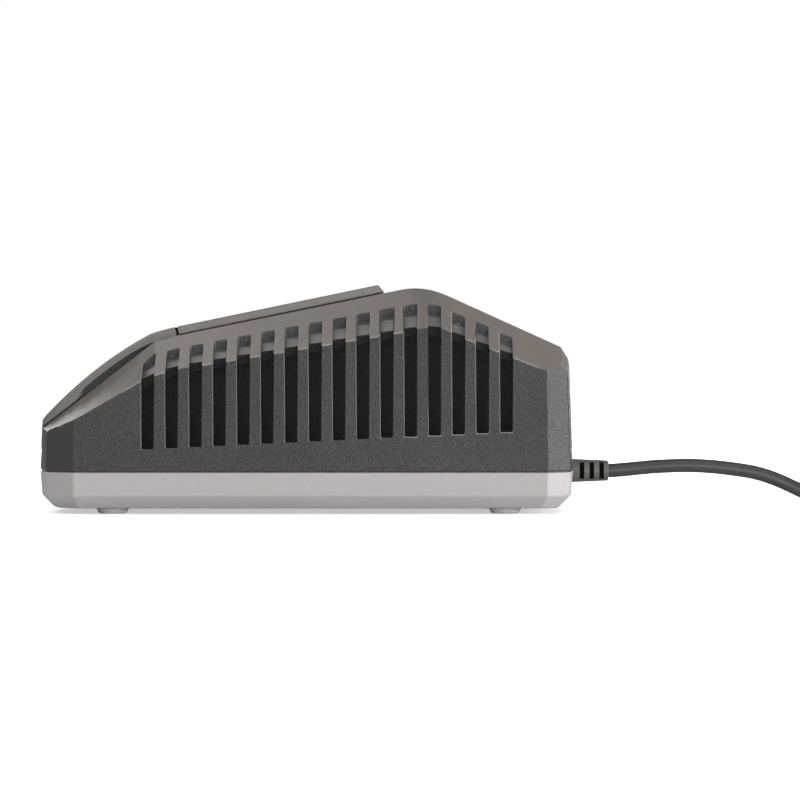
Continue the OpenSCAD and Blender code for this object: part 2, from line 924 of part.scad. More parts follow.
module terminal_block() {
    color(black_plastic)
        on_dock()
            difference() {
                union() {
                    translate([tower_x, -tower_half, -dock_depth - plate_t - 3])
                        cube([tower_l, 2 * tower_half, plate_t + dock_depth + 3 + 2.2]);
                    translate([tower_x - 2, -tower_half - 2, -dock_depth - plate_t - 3])
                        cube([tower_l + 4, 2 * tower_half + 4, 3]);
                }
                // Slots through which the blades stand clear
                for (y = blade_x)
                    translate([tower_x + 5, y - 0.4, -20])
                        cube([tower_l, 0.8, 30]);
            }
}

// Contact blades, standing in the block and reaching out behind it
module terminal_blades() {
    color(copper)
        on_dock()
            for (y = blade_x)
                translate([tower_x + 5.2, y - 0.38, -dock_depth - plate_t - 6])
                    linear_extrude_xz([[0, 0], [6, 0], [6, 8.8], [18, 8.8], [20, 10], [20, 13.2],
                                       [0, 13.2]], 0.76);
}

// Extrudes an XZ profile along +Y by w
module linear_extrude_xz(profile, w) {
    rotate([90, 0, 0])
        translate([0, 0, -w])
            linear_extrude(height = w)
                polygon(profile);
}

// ---------------------------------------------------------------- electronics

board_top = board_z + board_t;

module circuit_board() {
    color(board_green)
        difference() {
            translate([board_front, board_right, board_z])
                cube([board_rear - board_front, board_left - board_right, board_t]);
            for (p = board_posts)
                translate([p[0], p[1], 0])
                    cylinder(r = 1.6, h = 30, $fn = small_fn);
        }
}

module board_screws() {
    color(steel)
        for (p = board_posts)
            translate([p[0], p[1], board_top])
                pan_screw(1, 6, 2.6, 1.8);
}

core_x = 8;
core_y = -8;
core_l = 36;
core_w = 12;
core_h = 30;
winding_r = 11;

// Two E-shaped ferrites round the bobbin
module transformer_core() {
    color(ferrite)
        translate([core_x, core_y, board_top])
            difference() {
                translate([-core_l / 2, -core_w / 2, 1])
                    cube([core_l, core_w, core_h]);
                for (side = [-1, 1])
                    translate([side * 10 - 4.5, -core_w, 6])
                        cube([9, 2 * core_w, core_h - 10]);
            }
}

module transformer_winding() {
    color(copper)
        translate([core_x, core_y, board_top])
            difference() {
                union() {
                    translate([0, 0, 6.2])
                        cylinder(r = winding_r, h = core_h - 10.4, $fn = round_fn);
                    for (side = [-1, 1])
                        translate([-8, side * 12 - 3, 0])
                            cube([16, 6, 8]);
                }
                translate([-5.6, -core_w / 2 - 0.1, 0])
                    cube([11.2, core_w + 0.2, core_h + 4]);
                for (side = [-1, 1])
                    translate([side * 25 - 10.4, -30, 0])
                        cube([20.8, 60, 60]);
                translate([-core_l / 2 - 1, -core_w / 2 - 0.1, 0])
                    cube([core_l + 2, core_w + 0.2, 6.1]);
            }
}

module can(d, h) {
    cylinder(d = d, h = h - 0.8, $fn = round_fn);
    cylinder(d = d - 1.6, h = h, $fn = round_fn);
}

module bulk_capacitors() {
    color(sleeve_blue)
        for (y = [-30, 2])
            translate([-34, y, board_top])
                can(18, 32);
}

module output_capacitors() {
    color(sleeve_blue)
        for (x = [44, 56])
            for (y = [-32, -18])
                translate([x, y, board_top])
                    can(10, 20);
}

module filter_choke() {
    color(copper)
        translate([-56, -16, board_top])
            difference() {
                cylinder(r = 10, h = 12, $fn = round_fn);
                translate([0, 0, -1])
                    cylinder(r = 4, h = 14, $fn = round_fn);
            }
}

module film_capacitor() {
    color([0.75, 0.62, 0.2])
        translate([40, 4, board_top])
            cube([18, 9, 15]);
}

module mains_fuse() {
    color([0.85, 0.86, 0.87])
        translate([66, 20, board_top + 2.6])
            rotate([90, 0, 0]) {
                cylinder(r = 2.6, h = 20, $fn = small_fn);
            }
}

module output_relay() {
    color([0.15, 0.3, 0.6])
        translate([-62, 8, board_top])
            cube([16, 19, 15]);
}

sink_x0 = -22;
sink_l = 52;
sink_h = 30;
sink_y = [-41, 22];

// Extruded heat sinks: a plate with fins on one face
module heat_sinks() {
    color([0.16, 0.16, 0.17])
        for (y = sink_y)
            translate([sink_x0, y, board_top]) {
                cube([sink_l, 2.5, sink_h]);
                for (i = [0 : 8])
                    translate([i * (sink_l - 1.2) / 8, -4, 0])
                        cube([1.2, 4 + eps, sink_h]);
            }
}

module power_transistors() {
    color(black_plastic)
        for (y = sink_y)
            for (i = [0 : 2])
                translate([sink_x0 + 6 + 15 * i, y + 2.5, board_top + 7])
                    cube([10, 4.4, 15]);
}

liner_y = -50.2;
liner_t = 0.8;

// Insulating sheet that stands between the electronics and the vents of one side
module insulation_sheet() {
    xs = [-70, -69, -63.5, -57.6, -54, -50, -45.6, 0, 37, 46, 55, 70, 84];
    last = len(xs) - 1;
    color(black_plastic)
        translate([0, liner_y + liner_t / 2, 0])
            across(liner_t / 2)
                polygon(concat([[xs[0], tray_floor], [xs[last], tray_floor]],
                    [for (x = reversed(xs)) [x, room_at(x, -liner_y) - 0.9]]));
}

// ---------------------------------------------------------------- indicator board

// Small board under the nose, behind the lenses
module at_indicator() {
    translate([lens_x, 0, nose_height(lens_x)])
        rotate([0, -lens_tilt, 0])
            translate([0, 0, -cover_t - 10])
                children();
}

module indicator_board() {
    color(board_green)
        at_indicator()
            translate([-8, -22, -1.6])
                cube([16, 44, 1.6]);
}

module indicator_leds() {
    color([0.95, 0.95, 0.9])
        at_indicator()
            for (i = [0 : lens_count - 1])
                translate([0, (i - (lens_count - 1) / 2) * lens_pitch, 0])
                    cylinder(r = 1.5, h = 5, $fn = small_fn);
}

module indicator_cable() {
    color(black_plastic)
        tube([[-62, 31, board_top], [-62, 31, board_top + 8], [-66, 29, 26], [-72, 24, 32],
              [-75.4, 18.6, 37.4], [-76.6, 18, 39.2]], 2, 8);
}

// ---------------------------------------------------------------- fan

module fan_frame() {
    spoke = 2;
    color(black_plastic)
        at_fan() {
            difference() {
                translate([-fan_side / 2, -fan_side / 2, -fan_t / 2])
                    cube([fan_side, fan_side, fan_t]);
                translate([0, 0, -fan_t])
                    cylinder(r = fan_bore_r, h = 2 * fan_t, $fn = round_fn);
                for (x = [-16, 16])
                    for (y = [-16, 16])
                        translate([x, y, -fan_t])
                            cylinder(r = 1.7, h = 2 * fan_t, $fn = small_fn);
            }
            difference() {
                union() {
                    translate([0, 0, -fan_t / 2])
                        cylinder(r = fan_hub_r, h = 1.6, $fn = round_fn);
                    for (a = [45 : 90 : 315])
                        rotate([0, 0, a])
                            translate([fan_hub_r - 1, -spoke / 2, -fan_t / 2 + 0.2])
                                cube([fan_bore_r - fan_hub_r + 1.8, spoke, 1.2]);
                    translate([0, 0, -fan_t / 2])
                        cylinder(r = 3, h = 6, $fn = round_fn);
                }
                translate([0, 0, -fan_t / 2 + 0.8])
                    cylinder(r = fan_shaft_r + fan_fit, h = fan_t, $fn = round_fn);
            }
        }
}

blade_r = 18.2;
blade_t = 0.9;
blade_pitch = 38;

module fan_rotor() {
    color(black_plastic)
        at_fan() {
            difference() {
                translate([0, 0, -2.9])
                    cylinder(r = fan_hub_r, h = 7.4, $fn = round_fn);
                translate([0, 0, -3.5])
                    cylinder(r = fan_hub_r - 1.2, h = 6.6, $fn = round_fn);
            }
            translate([0, 0, -fan_t / 2 + 0.9])
                cylinder(r = fan_shaft_r, h = 8, $fn = round_fn);
            intersection() {
                difference() {
                    translate([0, 0, -2.8])
                        cylinder(r = blade_r, h = 7, $fn = round_fn);
                    translate([0, 0, -4])
                        cylinder(r = fan_hub_r - 0.5, h = 10, $fn = round_fn);
                }
                for (i = [0 : blade_count - 1])
                    rotate([0, 0, 360 * i / blade_count])
                        rotate([blade_pitch, 0, 0])
                            translate([fan_hub_r - 1, -8, 0.2])
                                cube([blade_r, 16, blade_t]);
            }
        }
}

// ---------------------------------------------------------------- leads

module output_leads() {
    color([0.6, 0.08, 0.06])
        for (i = [0 : 1])
            tube([[-18, 10 - 20 * i, board_top], [-19, 10 - 20 * i, 30],
                  [-24, 9 - 18 * i, 46], [-32.6, 7.6 - 15.2 * i, 54],
                  [-35, 7.6 - 15.2 * i, 60]], 2.4, 8);
}

module mains_leads() {
    color([0.32, 0.2, 0.1])
        for (side = [-1, 1])
            tube([[cradle_x - 4, side * 1.4, cord_z], [cradle_x - 4.6, side * 1.4, cord_z],
                  [79, side * 2, cord_z + 0.6],
                  [75, side * 4, cord_z + 0.4], [72.5, side * 5, cord_z - 1],
                  [72, side * 5, board_top]], 2.4, 8);
}

// ---------------------------------------------------------------- fasteners

module housing_screws() {
    color(steel)
        for (p = boss_places)
            translate([p[0], p[1], 6])
                mirror([0, 0, 1])
                    pan_screw(screw_r - 0.02, 20, head_r, 2.2);
}

// ---------------------------------------------------------------- feet

module foot(x, side) {
    color([0.52, 0.51, 0.515])
        translate([x, side * foot_y, 0])
            rotate_extrude($fn = round_fn)
                polygon([[0, 0], [foot_d / 2 - 1.3, 0], [foot_d / 2 - 0.9, 0.4],
                         [foot_d / 2, foot_h], [foot_d / 2, foot_h + 1], [0, foot_h + 1]]);
}

module foot_front_left() { foot(foot_front_x, 1); }
module foot_front_right() { foot(foot_front_x, -1); }
module foot_rear_left() { foot(foot_rear_x, 1); }
module foot_rear_right() { foot(foot_rear_x, -1); }

// ---------------------------------------------------------------- mains cord and plug

module cord_lead() {
    color(black_plastic)
        tube(concat([[cradle_x - 4, 0, cord_z], [cradle_x + 8, 0, cord_z]], lead_route),
             cord_d, cord_sides);
}

module cord_tail() {
    color(black_plastic)
        tube(tail_route, cord_d, cord_sides);
}

module cord_coil() {
    color(black_plastic)
        translate([coil_x, coil_y, 0])
            rotate_extrude($fn = round_fn)
                translate([coil_turn_r - coil_rows * cord_d / 2, 0])
                    square([coil_rows * cord_d, coil_layers * cord_d]);
}

plug_x = 232;
plug_y = -33.4;
plug_t = 13.6;
plug_l = 36;
plug_pin_r = 2;
plug_pin_l = 19;
plug_pin_y = 9.3;
// Half outline of the plug's body in plan, from the cord to the pin face
plug_outline = [[0, 4.6], [7, 4.8], [12, 7], [20, 13], [27, 16.4], [33, 17.4], [plug_l, 17.4]];

module plug_body() {
    color(black_plastic)
        translate([plug_x, plug_y, plug_t / 2])
            difference() {
                intersection() {
                    translate([0, 0, -plug_t / 2])
                        linear_extrude(height = plug_t)
                            polygon(concat(plug_outline,
                                [for (p = reversed(plug_outline)) [p[0], -p[1]]]));
                    // Slim at the cord, full height at the pins
                    across(30)
                        polygon([[0, -plug_t / 2], [plug_l, -plug_t / 2], [plug_l, plug_t / 2],
                                 [14, plug_t / 2], [5, 4.8], [0, 4.6]]);
                }
                translate([-1, 0, 0])
                    rotate([0, 90, 0])
                        cylinder(d = cord_d, h = 7, $fn = round_fn);
            }
}

module plug_pins() {
    color(steel)
        for (side = [-1, 1])
            translate([plug_x + plug_l, plug_y + side * plug_pin_y, plug_t / 2])
                rotate([0, 90, 0]) {
                    cylinder(r = plug_pin_r, h = plug_pin_l - 1, $fn = round_fn);
                    translate([0, 0, plug_pin_l - 1])
                        cylinder(r1 = plug_pin_r, r2 = plug_pin_r - 0.8, h = 1, $fn = round_fn);
                }
}

// ================================================================ selection

base_shell();
top_housing();
nose_cover();
indicator_lenses();
dock_insert();
dock_screws();
terminal_block();
terminal_blades();
circuit_board();
board_screws();
transformer_core();
transformer_winding();
bulk_capacitors();
output_capacitors();
filter_choke();
film_capacitor();
mains_fuse();
output_relay();
heat_sinks();
power_transistors();
insulation_sheet();
indicator_board();
indicator_leds();
indicator_cable();
fan_frame();
fan_rotor();
output_leads();
mains_leads();
cord_clamp();
clamp_screws();
housing_screws();
strain_relief();
cord_lead();
cord_coil();
cord_tail();
plug_body();
plug_pins();
foot_front_left();
foot_front_right();
foot_rear_left();
foot_rear_right();
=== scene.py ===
"""Looks of a slide-pack battery charger: a vented housing on a light base tray, and its lead."""

import math

import bmesh
import bpy
from bpy.props import FloatProperty, FloatVectorProperty, IntProperty, PointerProperty
from mathutils import Matrix, Vector


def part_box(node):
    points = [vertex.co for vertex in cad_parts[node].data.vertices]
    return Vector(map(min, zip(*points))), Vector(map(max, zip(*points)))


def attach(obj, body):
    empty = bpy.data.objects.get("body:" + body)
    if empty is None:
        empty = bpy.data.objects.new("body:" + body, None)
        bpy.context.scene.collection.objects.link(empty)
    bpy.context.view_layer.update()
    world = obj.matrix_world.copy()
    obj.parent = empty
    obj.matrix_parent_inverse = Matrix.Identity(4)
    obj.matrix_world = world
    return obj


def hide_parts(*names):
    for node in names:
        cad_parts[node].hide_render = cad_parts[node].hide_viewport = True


bl_info = {
    "name": "Slide-pack battery charger",
    "version": (1, 0, 0),
    "blender": (4, 5, 0),
    "location": "3D View > Sidebar > Charger",
    "description": "Builds the mouldings, fittings, lead and studio of a battery charger",
    "category": "Add Mesh",
}

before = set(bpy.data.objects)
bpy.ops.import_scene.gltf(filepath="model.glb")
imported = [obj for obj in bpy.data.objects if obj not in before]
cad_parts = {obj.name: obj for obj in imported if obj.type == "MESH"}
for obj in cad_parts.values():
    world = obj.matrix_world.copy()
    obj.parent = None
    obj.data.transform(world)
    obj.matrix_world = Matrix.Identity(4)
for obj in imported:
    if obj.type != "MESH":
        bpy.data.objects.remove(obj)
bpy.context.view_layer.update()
CASE = "charger"
IMPELLER = "impeller"
MM = 0.001
WHITE = (1.0, 1.0, 1.0, 1.0)

# Points of the lead in mm: from the sleeve to the coil, and from the coil to the plug
LEAD_ROUTE = [
    (118, 0, 15.6), (121, 0, 15.6), (125, 0, 15.9), (130, 0, 16.4), (136, 0, 17), (143, 0, 17.4),
    (150, 0, 17.6), (157, 0, 17.4), (164, 0, 16.8), (171, 0, 15.9), (177, 0, 14.9),
    (183, 0, 13.2), (189, 0, 10.8), (195, 0, 8), (201, 0, 5.4), (207, 0, 3.6), (213, 0, 2.8),
    (220, 0, 2.8),
]
TAIL_ROUTE = [
    (206.6, 19, 8.6), (206.6, 12, 9.1), (206.6, 5, 9.5), (206.6, -2, 9.4), (206.6, -8, 8.8),
    (207.5, -14.6, 7.8), (210, -20.7, 6.8), (214, -26, 6.1), (219.3, -30, 5.7),
    (225.4, -32.5, 6), (232, -33.4, 6.8),
]
COIL_CENTRE = (247.0, 40.4)
COIL_RADII = (40.4, 34.8, 29.2, 23.6)
COIL_LAYERS = (2.8, 8.4)

# Side view of the nose cover in mm, from its front lip up to the dock
NOSE_LINE = [
    (-102.3, 35.3), (-100.3, 37.9), (-96.2, 42.1), (-92.2, 46), (-88, 49.7), (-83.8, 53.3),
    (-79.4, 56.7), (-74.8, 60.1), (-70.1, 63.3), (-65.2, 66.3), (-60.1, 69.2), (-58.6, 69.7),
    (-57.2, 70.17), (-55.4, 70.68), (-53.2, 71.23), (-50.6, 71.82),
]
# Under side of the cover's walls: on the shoulder next to the dock, and at the front lip
COVER_FOOT = [(-49.8, 68.1), (-54, 67.1), (-57.6, 66.2), (-60.1, 65.35), (-63.4, 63.9)]
COVER_FRONT = [(-88.6, 43.4), (-98.0, 36.25), (-101.9, 33.25)]
# Sheet of painted shade in the joint between the cover and the dock's rails
COVER_LIP = [(-50.5, 71.4), (-49.98, 71.4), (-49.62, 69.3), (-50.06, 69.3)]


# ---- settings

def length_setting(name, description, value, low, high):
    return FloatProperty(name=name, description=description, default=value, min=low, max=high,
                         unit="LENGTH")


def colour_setting(name, description, value):
    return FloatVectorProperty(name=name, description=description, default=value, size=3,
                               min=0.0, max=1.0, subtype="COLOR")


def light_setting(name, light, value):
    return FloatProperty(name=name, description="Power of the " + light, default=value, min=0.0)


class ChargerMouldings(bpy.types.PropertyGroup):
    """Sizes and colours of the plastic mouldings."""

    edge_radius: length_setting(
        "Edge radius", "Rounding of the mouldings' outer edges", 0.0004, 0.0, 0.002)
    grain_size: length_setting(
        "Grain size", "Width of one pit of the spark-eroded texture", 0.0007, 0.0002, 0.003)
    grain_depth: length_setting(
        "Grain depth", "Depth of the spark-eroded texture", 0.00036, 0.0, 0.0008)
    housing_colour: colour_setting(
        "Housing colour", "Colour of the housing where its tool was eroded",
        (0.0175, 0.017, 0.0168))
    polished_colour: colour_setting(
        "Polished colour", "Colour of the housing where its tool was polished",
        (0.158, 0.142, 0.133))
    tray_colour: colour_setting(
        "Tray colour", "Pigment of the light base tray", (0.405, 0.387, 0.391))
    foot_colour: colour_setting(
        "Foot colour", "Colour of the rubber feet", (0.585, 0.571, 0.571))


class ChargerLead(bpy.types.PropertyGroup):
    """Sizes and colour of the mains lead."""

    diameter: length_setting(
        "Diameter", "Outer diameter of the round lead", 0.0056, 0.003, 0.01)
    ring_count: IntProperty(
        name="Sleeve rings", description="Ribs of the strain relief", default=4, min=2, max=8)
    colour: colour_setting(
        "Lead colour", "Colour of the lead's sheath", (0.047, 0.0459, 0.045))


class ChargerStudio(bpy.types.PropertyGroup):
    """Camera and light."""

    camera_distance: length_setting(
        "Camera distance", "From the near side of the case to the camera", 1.4, 0.3, 5.0)
    frame_width: length_setting(
        "Frame width", "Width of the view at the near side of the case", 0.304, 0.1, 1.0)
    overhead: light_setting("Overhead light", "soft light above", 3.6)
    far_light: light_setting("Far light", "soft light high beyond the nose", 3.6)
    back_light: light_setting("Back light", "soft light on the far side", 10.0)
    nose_light: light_setting("Nose light", "soft light high over the nose", 1.8)
    lead_light: light_setting("Lead light", "soft light high in front of the lead", 1.3)
    rear_light: light_setting("Rear light", "low light at the rear end", 10.3)
    front_light: light_setting("Front light", "low, wide light behind the camera", 11.6)
    side_light: light_setting("Side light", "soft light to the right of the camera", 7.6)
    fill: light_setting("Fill light", "even light all round", 0.11)


# ---- shader arithmetic

class Signal:
    """A shader socket that takes part in arithmetic with numbers and other signals."""

    def __init__(self, tree, socket):
        self.tree = tree
        self.socket = socket

    def maths(self, operation, left, right):
        node = self.tree.nodes.new("ShaderNodeMath")
        node.operation = operation
        for slot, value in zip(node.inputs, (left, right)):
            if isinstance(value, Signal):
                self.tree.links.new(value.socket, slot)
            else:
                slot.default_value = value
        return Signal(self.tree, node.outputs[0])

    def __add__(self, other):
        return self.maths("ADD", self, other)

    def __radd__(self, other):
        return self.maths("ADD", other, self)

    def __sub__(self, other):
        return self.maths("SUBTRACT", self, other)

    def __rsub__(self, other):
        return self.maths("SUBTRACT", other, self)

    def __mul__(self, other):
        return self.maths("MULTIPLY", self, other)

    def __rmul__(self, other):
        return self.maths("MULTIPLY", other, self)

    def __truediv__(self, other):
        return self.maths("DIVIDE", self, other)

    def __gt__(self, other):
        return self.maths("GREATER_THAN", self, other)

    def clamp(self):
        return self.maths("MAXIMUM", self.maths("MINIMUM", self, 1.0), 0.0)


class Graph:
    """A node tree that is being wired."""

    def __init__(self, tree):
        self.tree = tree

    def feed(self, socket, value):
        if isinstance(value, Signal):
            self.tree.links.new(value.socket, socket)
        elif isinstance(value, list):
            for part in value:
                self.feed(socket, part)
        elif value is not None:
            socket.default_value = value

    def node(self, kind, settings=None, out=0, **values):
        """A node of any kind: settings first, then the values or links of its sockets."""
        made = self.tree.nodes.new(kind)
        for key, value in (settings or {}).items():
            setattr(made, key, value)
        for key, value in values.items():
            name = int(key[1:]) if key[0] == "_" else key.replace("_", " ")
            self.feed(made.inputs[name], value)
        return Signal(self.tree, made.outputs[out])


class Finish(Graph):
    """A material under construction."""

    def __init__(self, name, specular=0.5, coat=0.0, transmission=0.0, ior=1.5):
        self.material = bpy.data.materials.new(name)
        self.material.use_nodes = True
        super().__init__(self.material.node_tree)
        self.tree.nodes.clear()
        output = self.tree.nodes.new("ShaderNodeOutputMaterial")
        self.shader = self.tree.nodes.new("ShaderNodeBsdfPrincipled")
        for label, value in (("Specular IOR Level", specular), ("IOR", ior),
                             ("Coat Weight", coat), ("Transmission Weight", transmission)):
            self.shader.inputs[label].default_value = value
        self.tree.links.new(self.shader.outputs[0], output.inputs[0])
        self.place = self.node("ShaderNodeTexCoord", out="Object")

    def noise(self, size, detail=3.0, rough=0.5, warp=0.0, place=None):
        """Noise whose lumps are about size metres wide, from 0 to 1."""
        return self.node("ShaderNodeTexNoise", Vector=place or self.place, Scale=1.0 / size,
                         Detail=detail, Roughness=rough, Distortion=warp)

    def cells(self, size):
        """Round cells about size metres wide, 0 at their middles."""
        return self.node("ShaderNodeTexVoronoi", {"feature": "SMOOTH_F1"}, Vector=self.place,
                         Scale=1.0 / size, Smoothness=0.7)

    def blend(self, amount, low, high):
        """Colour between low and high."""
        made = self.tree.nodes.new("ShaderNodeMix")
        made.data_type = "RGBA"
        for name, value in (("Factor_Float", amount), ("A_Color", low), ("B_Color", high)):
            socket = next(s for s in made.inputs if s.identifier == name)
            if not isinstance(value, Signal) and name != "Factor_Float":
                value = (*value, 1.0)
            self.feed(socket, value)
        return Signal(self.tree, next(s for s in made.outputs if s.identifier == "Result_Color"))

    def spread(self, signal, low=0.0, high=1.0, start=0.3, end=0.7):
        """The signal's middle range stretched from low to high."""
        return self.node("ShaderNodeMapRange", Value=signal, From_Min=start, From_Max=end,
                         To_Min=low, To_Max=high)

    def bump(self, height, depth):
        return self.node("ShaderNodeBump", Height=height, Distance=depth)

    def done(self, colour, roughness, normal=None, metallic=0.0):
        if not isinstance(colour, Signal):
            colour = (*colour, 1.0)
        for label, value in (("Base Color", colour), ("Roughness", roughness),
                             ("Metallic", metallic), ("Normal", normal)):
            self.feed(self.shader.inputs[label], value)
        return self.material


class Pattern(Graph):
    """A geometry tree with named sizes, run over a handful of points."""

    def __init__(self, name, **sizes):
        super().__init__(bpy.data.node_groups.new(name, "GeometryNodeTree"))
        face = self.tree.interface
        face.new_socket("Geometry", in_out="INPUT", socket_type="NodeSocketGeometry")
        face.new_socket("Geometry", in_out="OUTPUT", socket_type="NodeSocketGeometry")
        for label, value in sizes.items():
            kind = {int: "Int", float: "Float", tuple: "Vector"}[type(value)]
            socket = face.new_socket(label.replace("_", " "), in_out="INPUT",
                                     socket_type="NodeSocket" + kind)
            socket.default_value = value
        self.entry = self.tree.nodes.new("NodeGroupInput")
        self.places = self.size("Geometry")

    def size(self, label):
        return Signal(self.tree, self.entry.outputs[label])

    def moved(self, mesh, translation=None, rotation=None):
        return self.node("GeometryNodeTransform", Geometry=mesh, Translation=translation,
                         Rotation=rotation)

    def point(self, x=0.0, y=0.0, z=0.0):
        return self.node("ShaderNodeCombineXYZ", X=x, Y=y, Z=z)

    def drum(self, radius, height, low=0.0, sides=32):
        """An upright closed cylinder from low upwards."""
        mesh = self.node("GeometryNodeMeshCylinder", Vertices=sides, Radius=radius, Depth=height)
        return self.moved(mesh, self.point(z=height * 0.5 + low))

    def position(self, axis):
        place = self.node("GeometryNodeInputPosition")
        return self.node("ShaderNodeSeparateXYZ", out=axis, _0=place)

    def joined(self, *meshes):
        return self.node("GeometryNodeJoinGeometry", Geometry=list(meshes))

    def union(self, *meshes):
        return self.node("GeometryNodeMeshBoolean", {"operation": "UNION"}, Mesh_2=list(meshes))

    def cut(self, mesh, tool, **settings):
        return self.node("GeometryNodeMeshBoolean", {"operation": "DIFFERENCE", **settings},
                         Mesh_1=mesh, Mesh_2=tool)

    def scattered(self, points, mesh, turn=None):
        """A copy of the mesh on each of the points."""
        return self.node("GeometryNodeInstanceOnPoints", Points=points, Instance=mesh,
                         Rotation=turn)

    def run(self, places, name, look, body=CASE, angle=32, **sizes):
        """Closes the tree, runs it over the places and keeps the result as a plain mesh."""
        solid = self.node("GeometryNodeRealizeInstances", Geometry=self.result)
        solid = self.node("GeometryNodeSetMaterial", Geometry=solid, Material=finish(look))
        output = self.tree.nodes.new("NodeGroupOutput")
        self.tree.links.new(solid.socket, output.inputs[0])
        seeds = bpy.data.meshes.new(name)
        seeds.from_pydata([tuple(p) for p in places], [], [])
        holder = placed(name, seeds)
        modifier = holder.modifiers.new("pattern", "NODES")
        modifier.node_group = self.tree
        for item in self.tree.interface.items_tree:
            key = item.name.replace(" ", "_")
            if item.in_out == "INPUT" and key in sizes:
                modifier[item.identifier] = sizes[key]
        graph = bpy.context.evaluated_depsgraph_get()
        mesh = bpy.data.meshes.new_from_object(
            holder.evaluated_get(graph), preserve_all_data_layers=True, depsgraph=graph)
        bpy.data.objects.remove(holder)
        piece = show(mesh, name, (), body)
        soften(mesh, angle)
        return piece


def placed(name, data):
    """An object for the data, in the scene."""
    made = bpy.data.objects.new(name, data)
    bpy.context.scene.collection.objects.link(made)
    return made


def shade(colour, factor):
    return tuple(min(1.0, c * factor) for c in colour)


def mouldings():
    return bpy.context.scene.charger_mouldings


def lead_colour():
    return bpy.context.scene.charger_lead.colour


FINISHES = {}
# Depths of the finishes' relief in m
SATIN_DEPTH = 0.000015
RUBBER_DEPTH = 0.00004
METAL_DEPTH = 0.000003
TRACK_HEIGHT = 0.00005
WIRE_DEPTH = 0.0002
WRINKLE_DEPTH = 0.00006
FROST_DEPTH = 0.00002
# Distance between two turns of wire in m, and the wave texture's scale for turns of 1 m
WIRE_PITCH = 0.0009
BAND_SCALE = 0.314
# How much lighter than the colour the painted highlights on the grain's crumbs are
CREST_SHADE = 4.0
FLOW_WARP = 0.4
ACRYLIC_IOR = 1.46


def finish(name):
    """The named material, made on first use."""
    if name not in FINISHES:
        FINISHES[name] = RECIPES[name](name)
    return FINISHES[name]


def eroded_plastic(name, colour, rough=0.55, size=None, depth=None, mottle=0.38, glint=0.0,
                   specular=0.5):
    """Moulded plastic with a spark-eroded grain: pits and rounded crumbs, the pits in painted
    shade, painted highlights on some crumbs, glossy patches.
    """
    settings = mouldings()
    size = size or settings.grain_size
    depth = depth or settings.grain_depth
    f = Finish(name, specular=specular)
    lumps = f.noise(size * 1.4, 2.0, 0.6)
    crumbs = 1.0 - f.cells(size)
    fine = f.noise(size * 0.6, 2.0, 0.6)
    relief = crumbs * 0.45 + lumps * 0.35 + fine * 0.2
    drift = f.noise(0.045)
    # Painted shade: the tone follows the grain's relief, darker in the pits, with a slow random
    # drift
    tone = f.spread(relief * 0.8 + drift * 0.2, start=0.42, end=0.62)
    paint = f.blend(tone, shade(colour, 1.0 - mottle), shade(colour, 1.0 + mottle))
    # Painted highlights: bright specks on some crumbs stand for glints
    crests = f.spread(f.noise(size * 0.7, 1.0), 0.0, glint, 0.56, 0.72).clamp()
    paint = f.blend(crests, paint, shade(colour, CREST_SHADE))
    gloss = f.spread(lumps, rough - 0.07, rough + 0.09)
    return f.done(paint, gloss, f.bump(relief, depth))


def satin_plastic(name, colour, rough=0.36, warm=0.0):
    """Moulded plastic from a polished tool: nearly smooth, with faint flow and handling marks."""
    f = Finish(name)
    flow = f.noise(0.03, 4.0, 0.55, FLOW_WARP)
    fine = f.noise(0.0009, 2.0)
    dusty = tuple(c * k for c, k in zip(shade(colour, 1.06), (1.0 + warm, 1.0, 1.0 - warm)))
    paint = f.blend(f.spread(flow), shade(colour, 0.95), dusty)
    scuffs = f.noise(0.008, 5.0, 0.7)
    gloss = f.spread(scuffs * 0.6 + fine * 0.4, rough - 0.05, rough + 0.06)
    return f.done(paint, gloss, f.bump(fine * 0.7 + flow * 0.3, SATIN_DEPTH))


def rubber(name, colour, rough=0.62, specular=0.35):
    f = Finish(name, specular=specular)
    grain = f.noise(0.0006, 4.0, 0.6)
    dust = f.noise(0.006, 4.0, 0.6)
    paint = f.blend(f.spread(dust), shade(colour, 0.88), shade(colour, 1.14))
    return f.done(paint, f.spread(grain, rough - 0.07, rough + 0.07), f.bump(grain, RUBBER_DEPTH))


def metal(name, colour, rough=0.3):
    """Drawn or rolled metal, with fine lines along Z and a faint tarnish."""
    f = Finish(name)
    stretched = f.node("ShaderNodeMapping", _0=f.place, Scale=(1.0, 1.0, 0.08))
    lines = f.noise(0.0004, 3.0, 0.6, place=stretched)
    tarnish = f.noise(0.004, 4.0, 0.6)
    paint = f.blend(f.spread(tarnish), shade(colour, 0.86), colour)
    gloss = f.spread(lines * 0.6 + tarnish * 0.4, rough - 0.08, rough + 0.1)
    return f.done(paint, gloss, f.bump(lines, METAL_DEPTH), metallic=1.0)


def laminate(name, colour):
    """Circuit board: solder mask over copper tracks."""
    f = Finish(name, coat=0.3)
    tracks = f.node("ShaderNodeTexBrick", {"offset": 0.35, "squash": 1.0},
                    Vector=f.place, Scale=1.0, Color1=(0.0, 0.0, 0.0, 1.0),
                    Color2=(0.25, 0.25, 0.25, 1.0), Mortar=(1.0, 1.0, 1.0, 1.0),
                    Mortar_Size=0.0006, Brick_Width=0.016, Row_Height=0.0045)
    weave = f.noise(0.0012, 2.0)
    paint = f.blend(tracks, colour, shade(colour, 1.7))
    return f.done(paint, f.spread(weave, 0.28, 0.42), f.bump(tracks, TRACK_HEIGHT))


def wound_wire(name, colour):
    """Enamelled wire in close turns."""
    f = Finish(name, coat=0.4)
    turns = f.node("ShaderNodeTexWave", {"wave_type": "BANDS", "bands_direction": "Z"},
                   Vector=f.place, Scale=BAND_SCALE / WIRE_PITCH, Distortion=0.6, Detail=1.0)
    paint = f.blend(turns, shade(colour, 0.55), colour)
    return f.done(paint, f.spread(turns, 0.3, 0.42), f.bump(turns, WIRE_DEPTH), metallic=0.75)


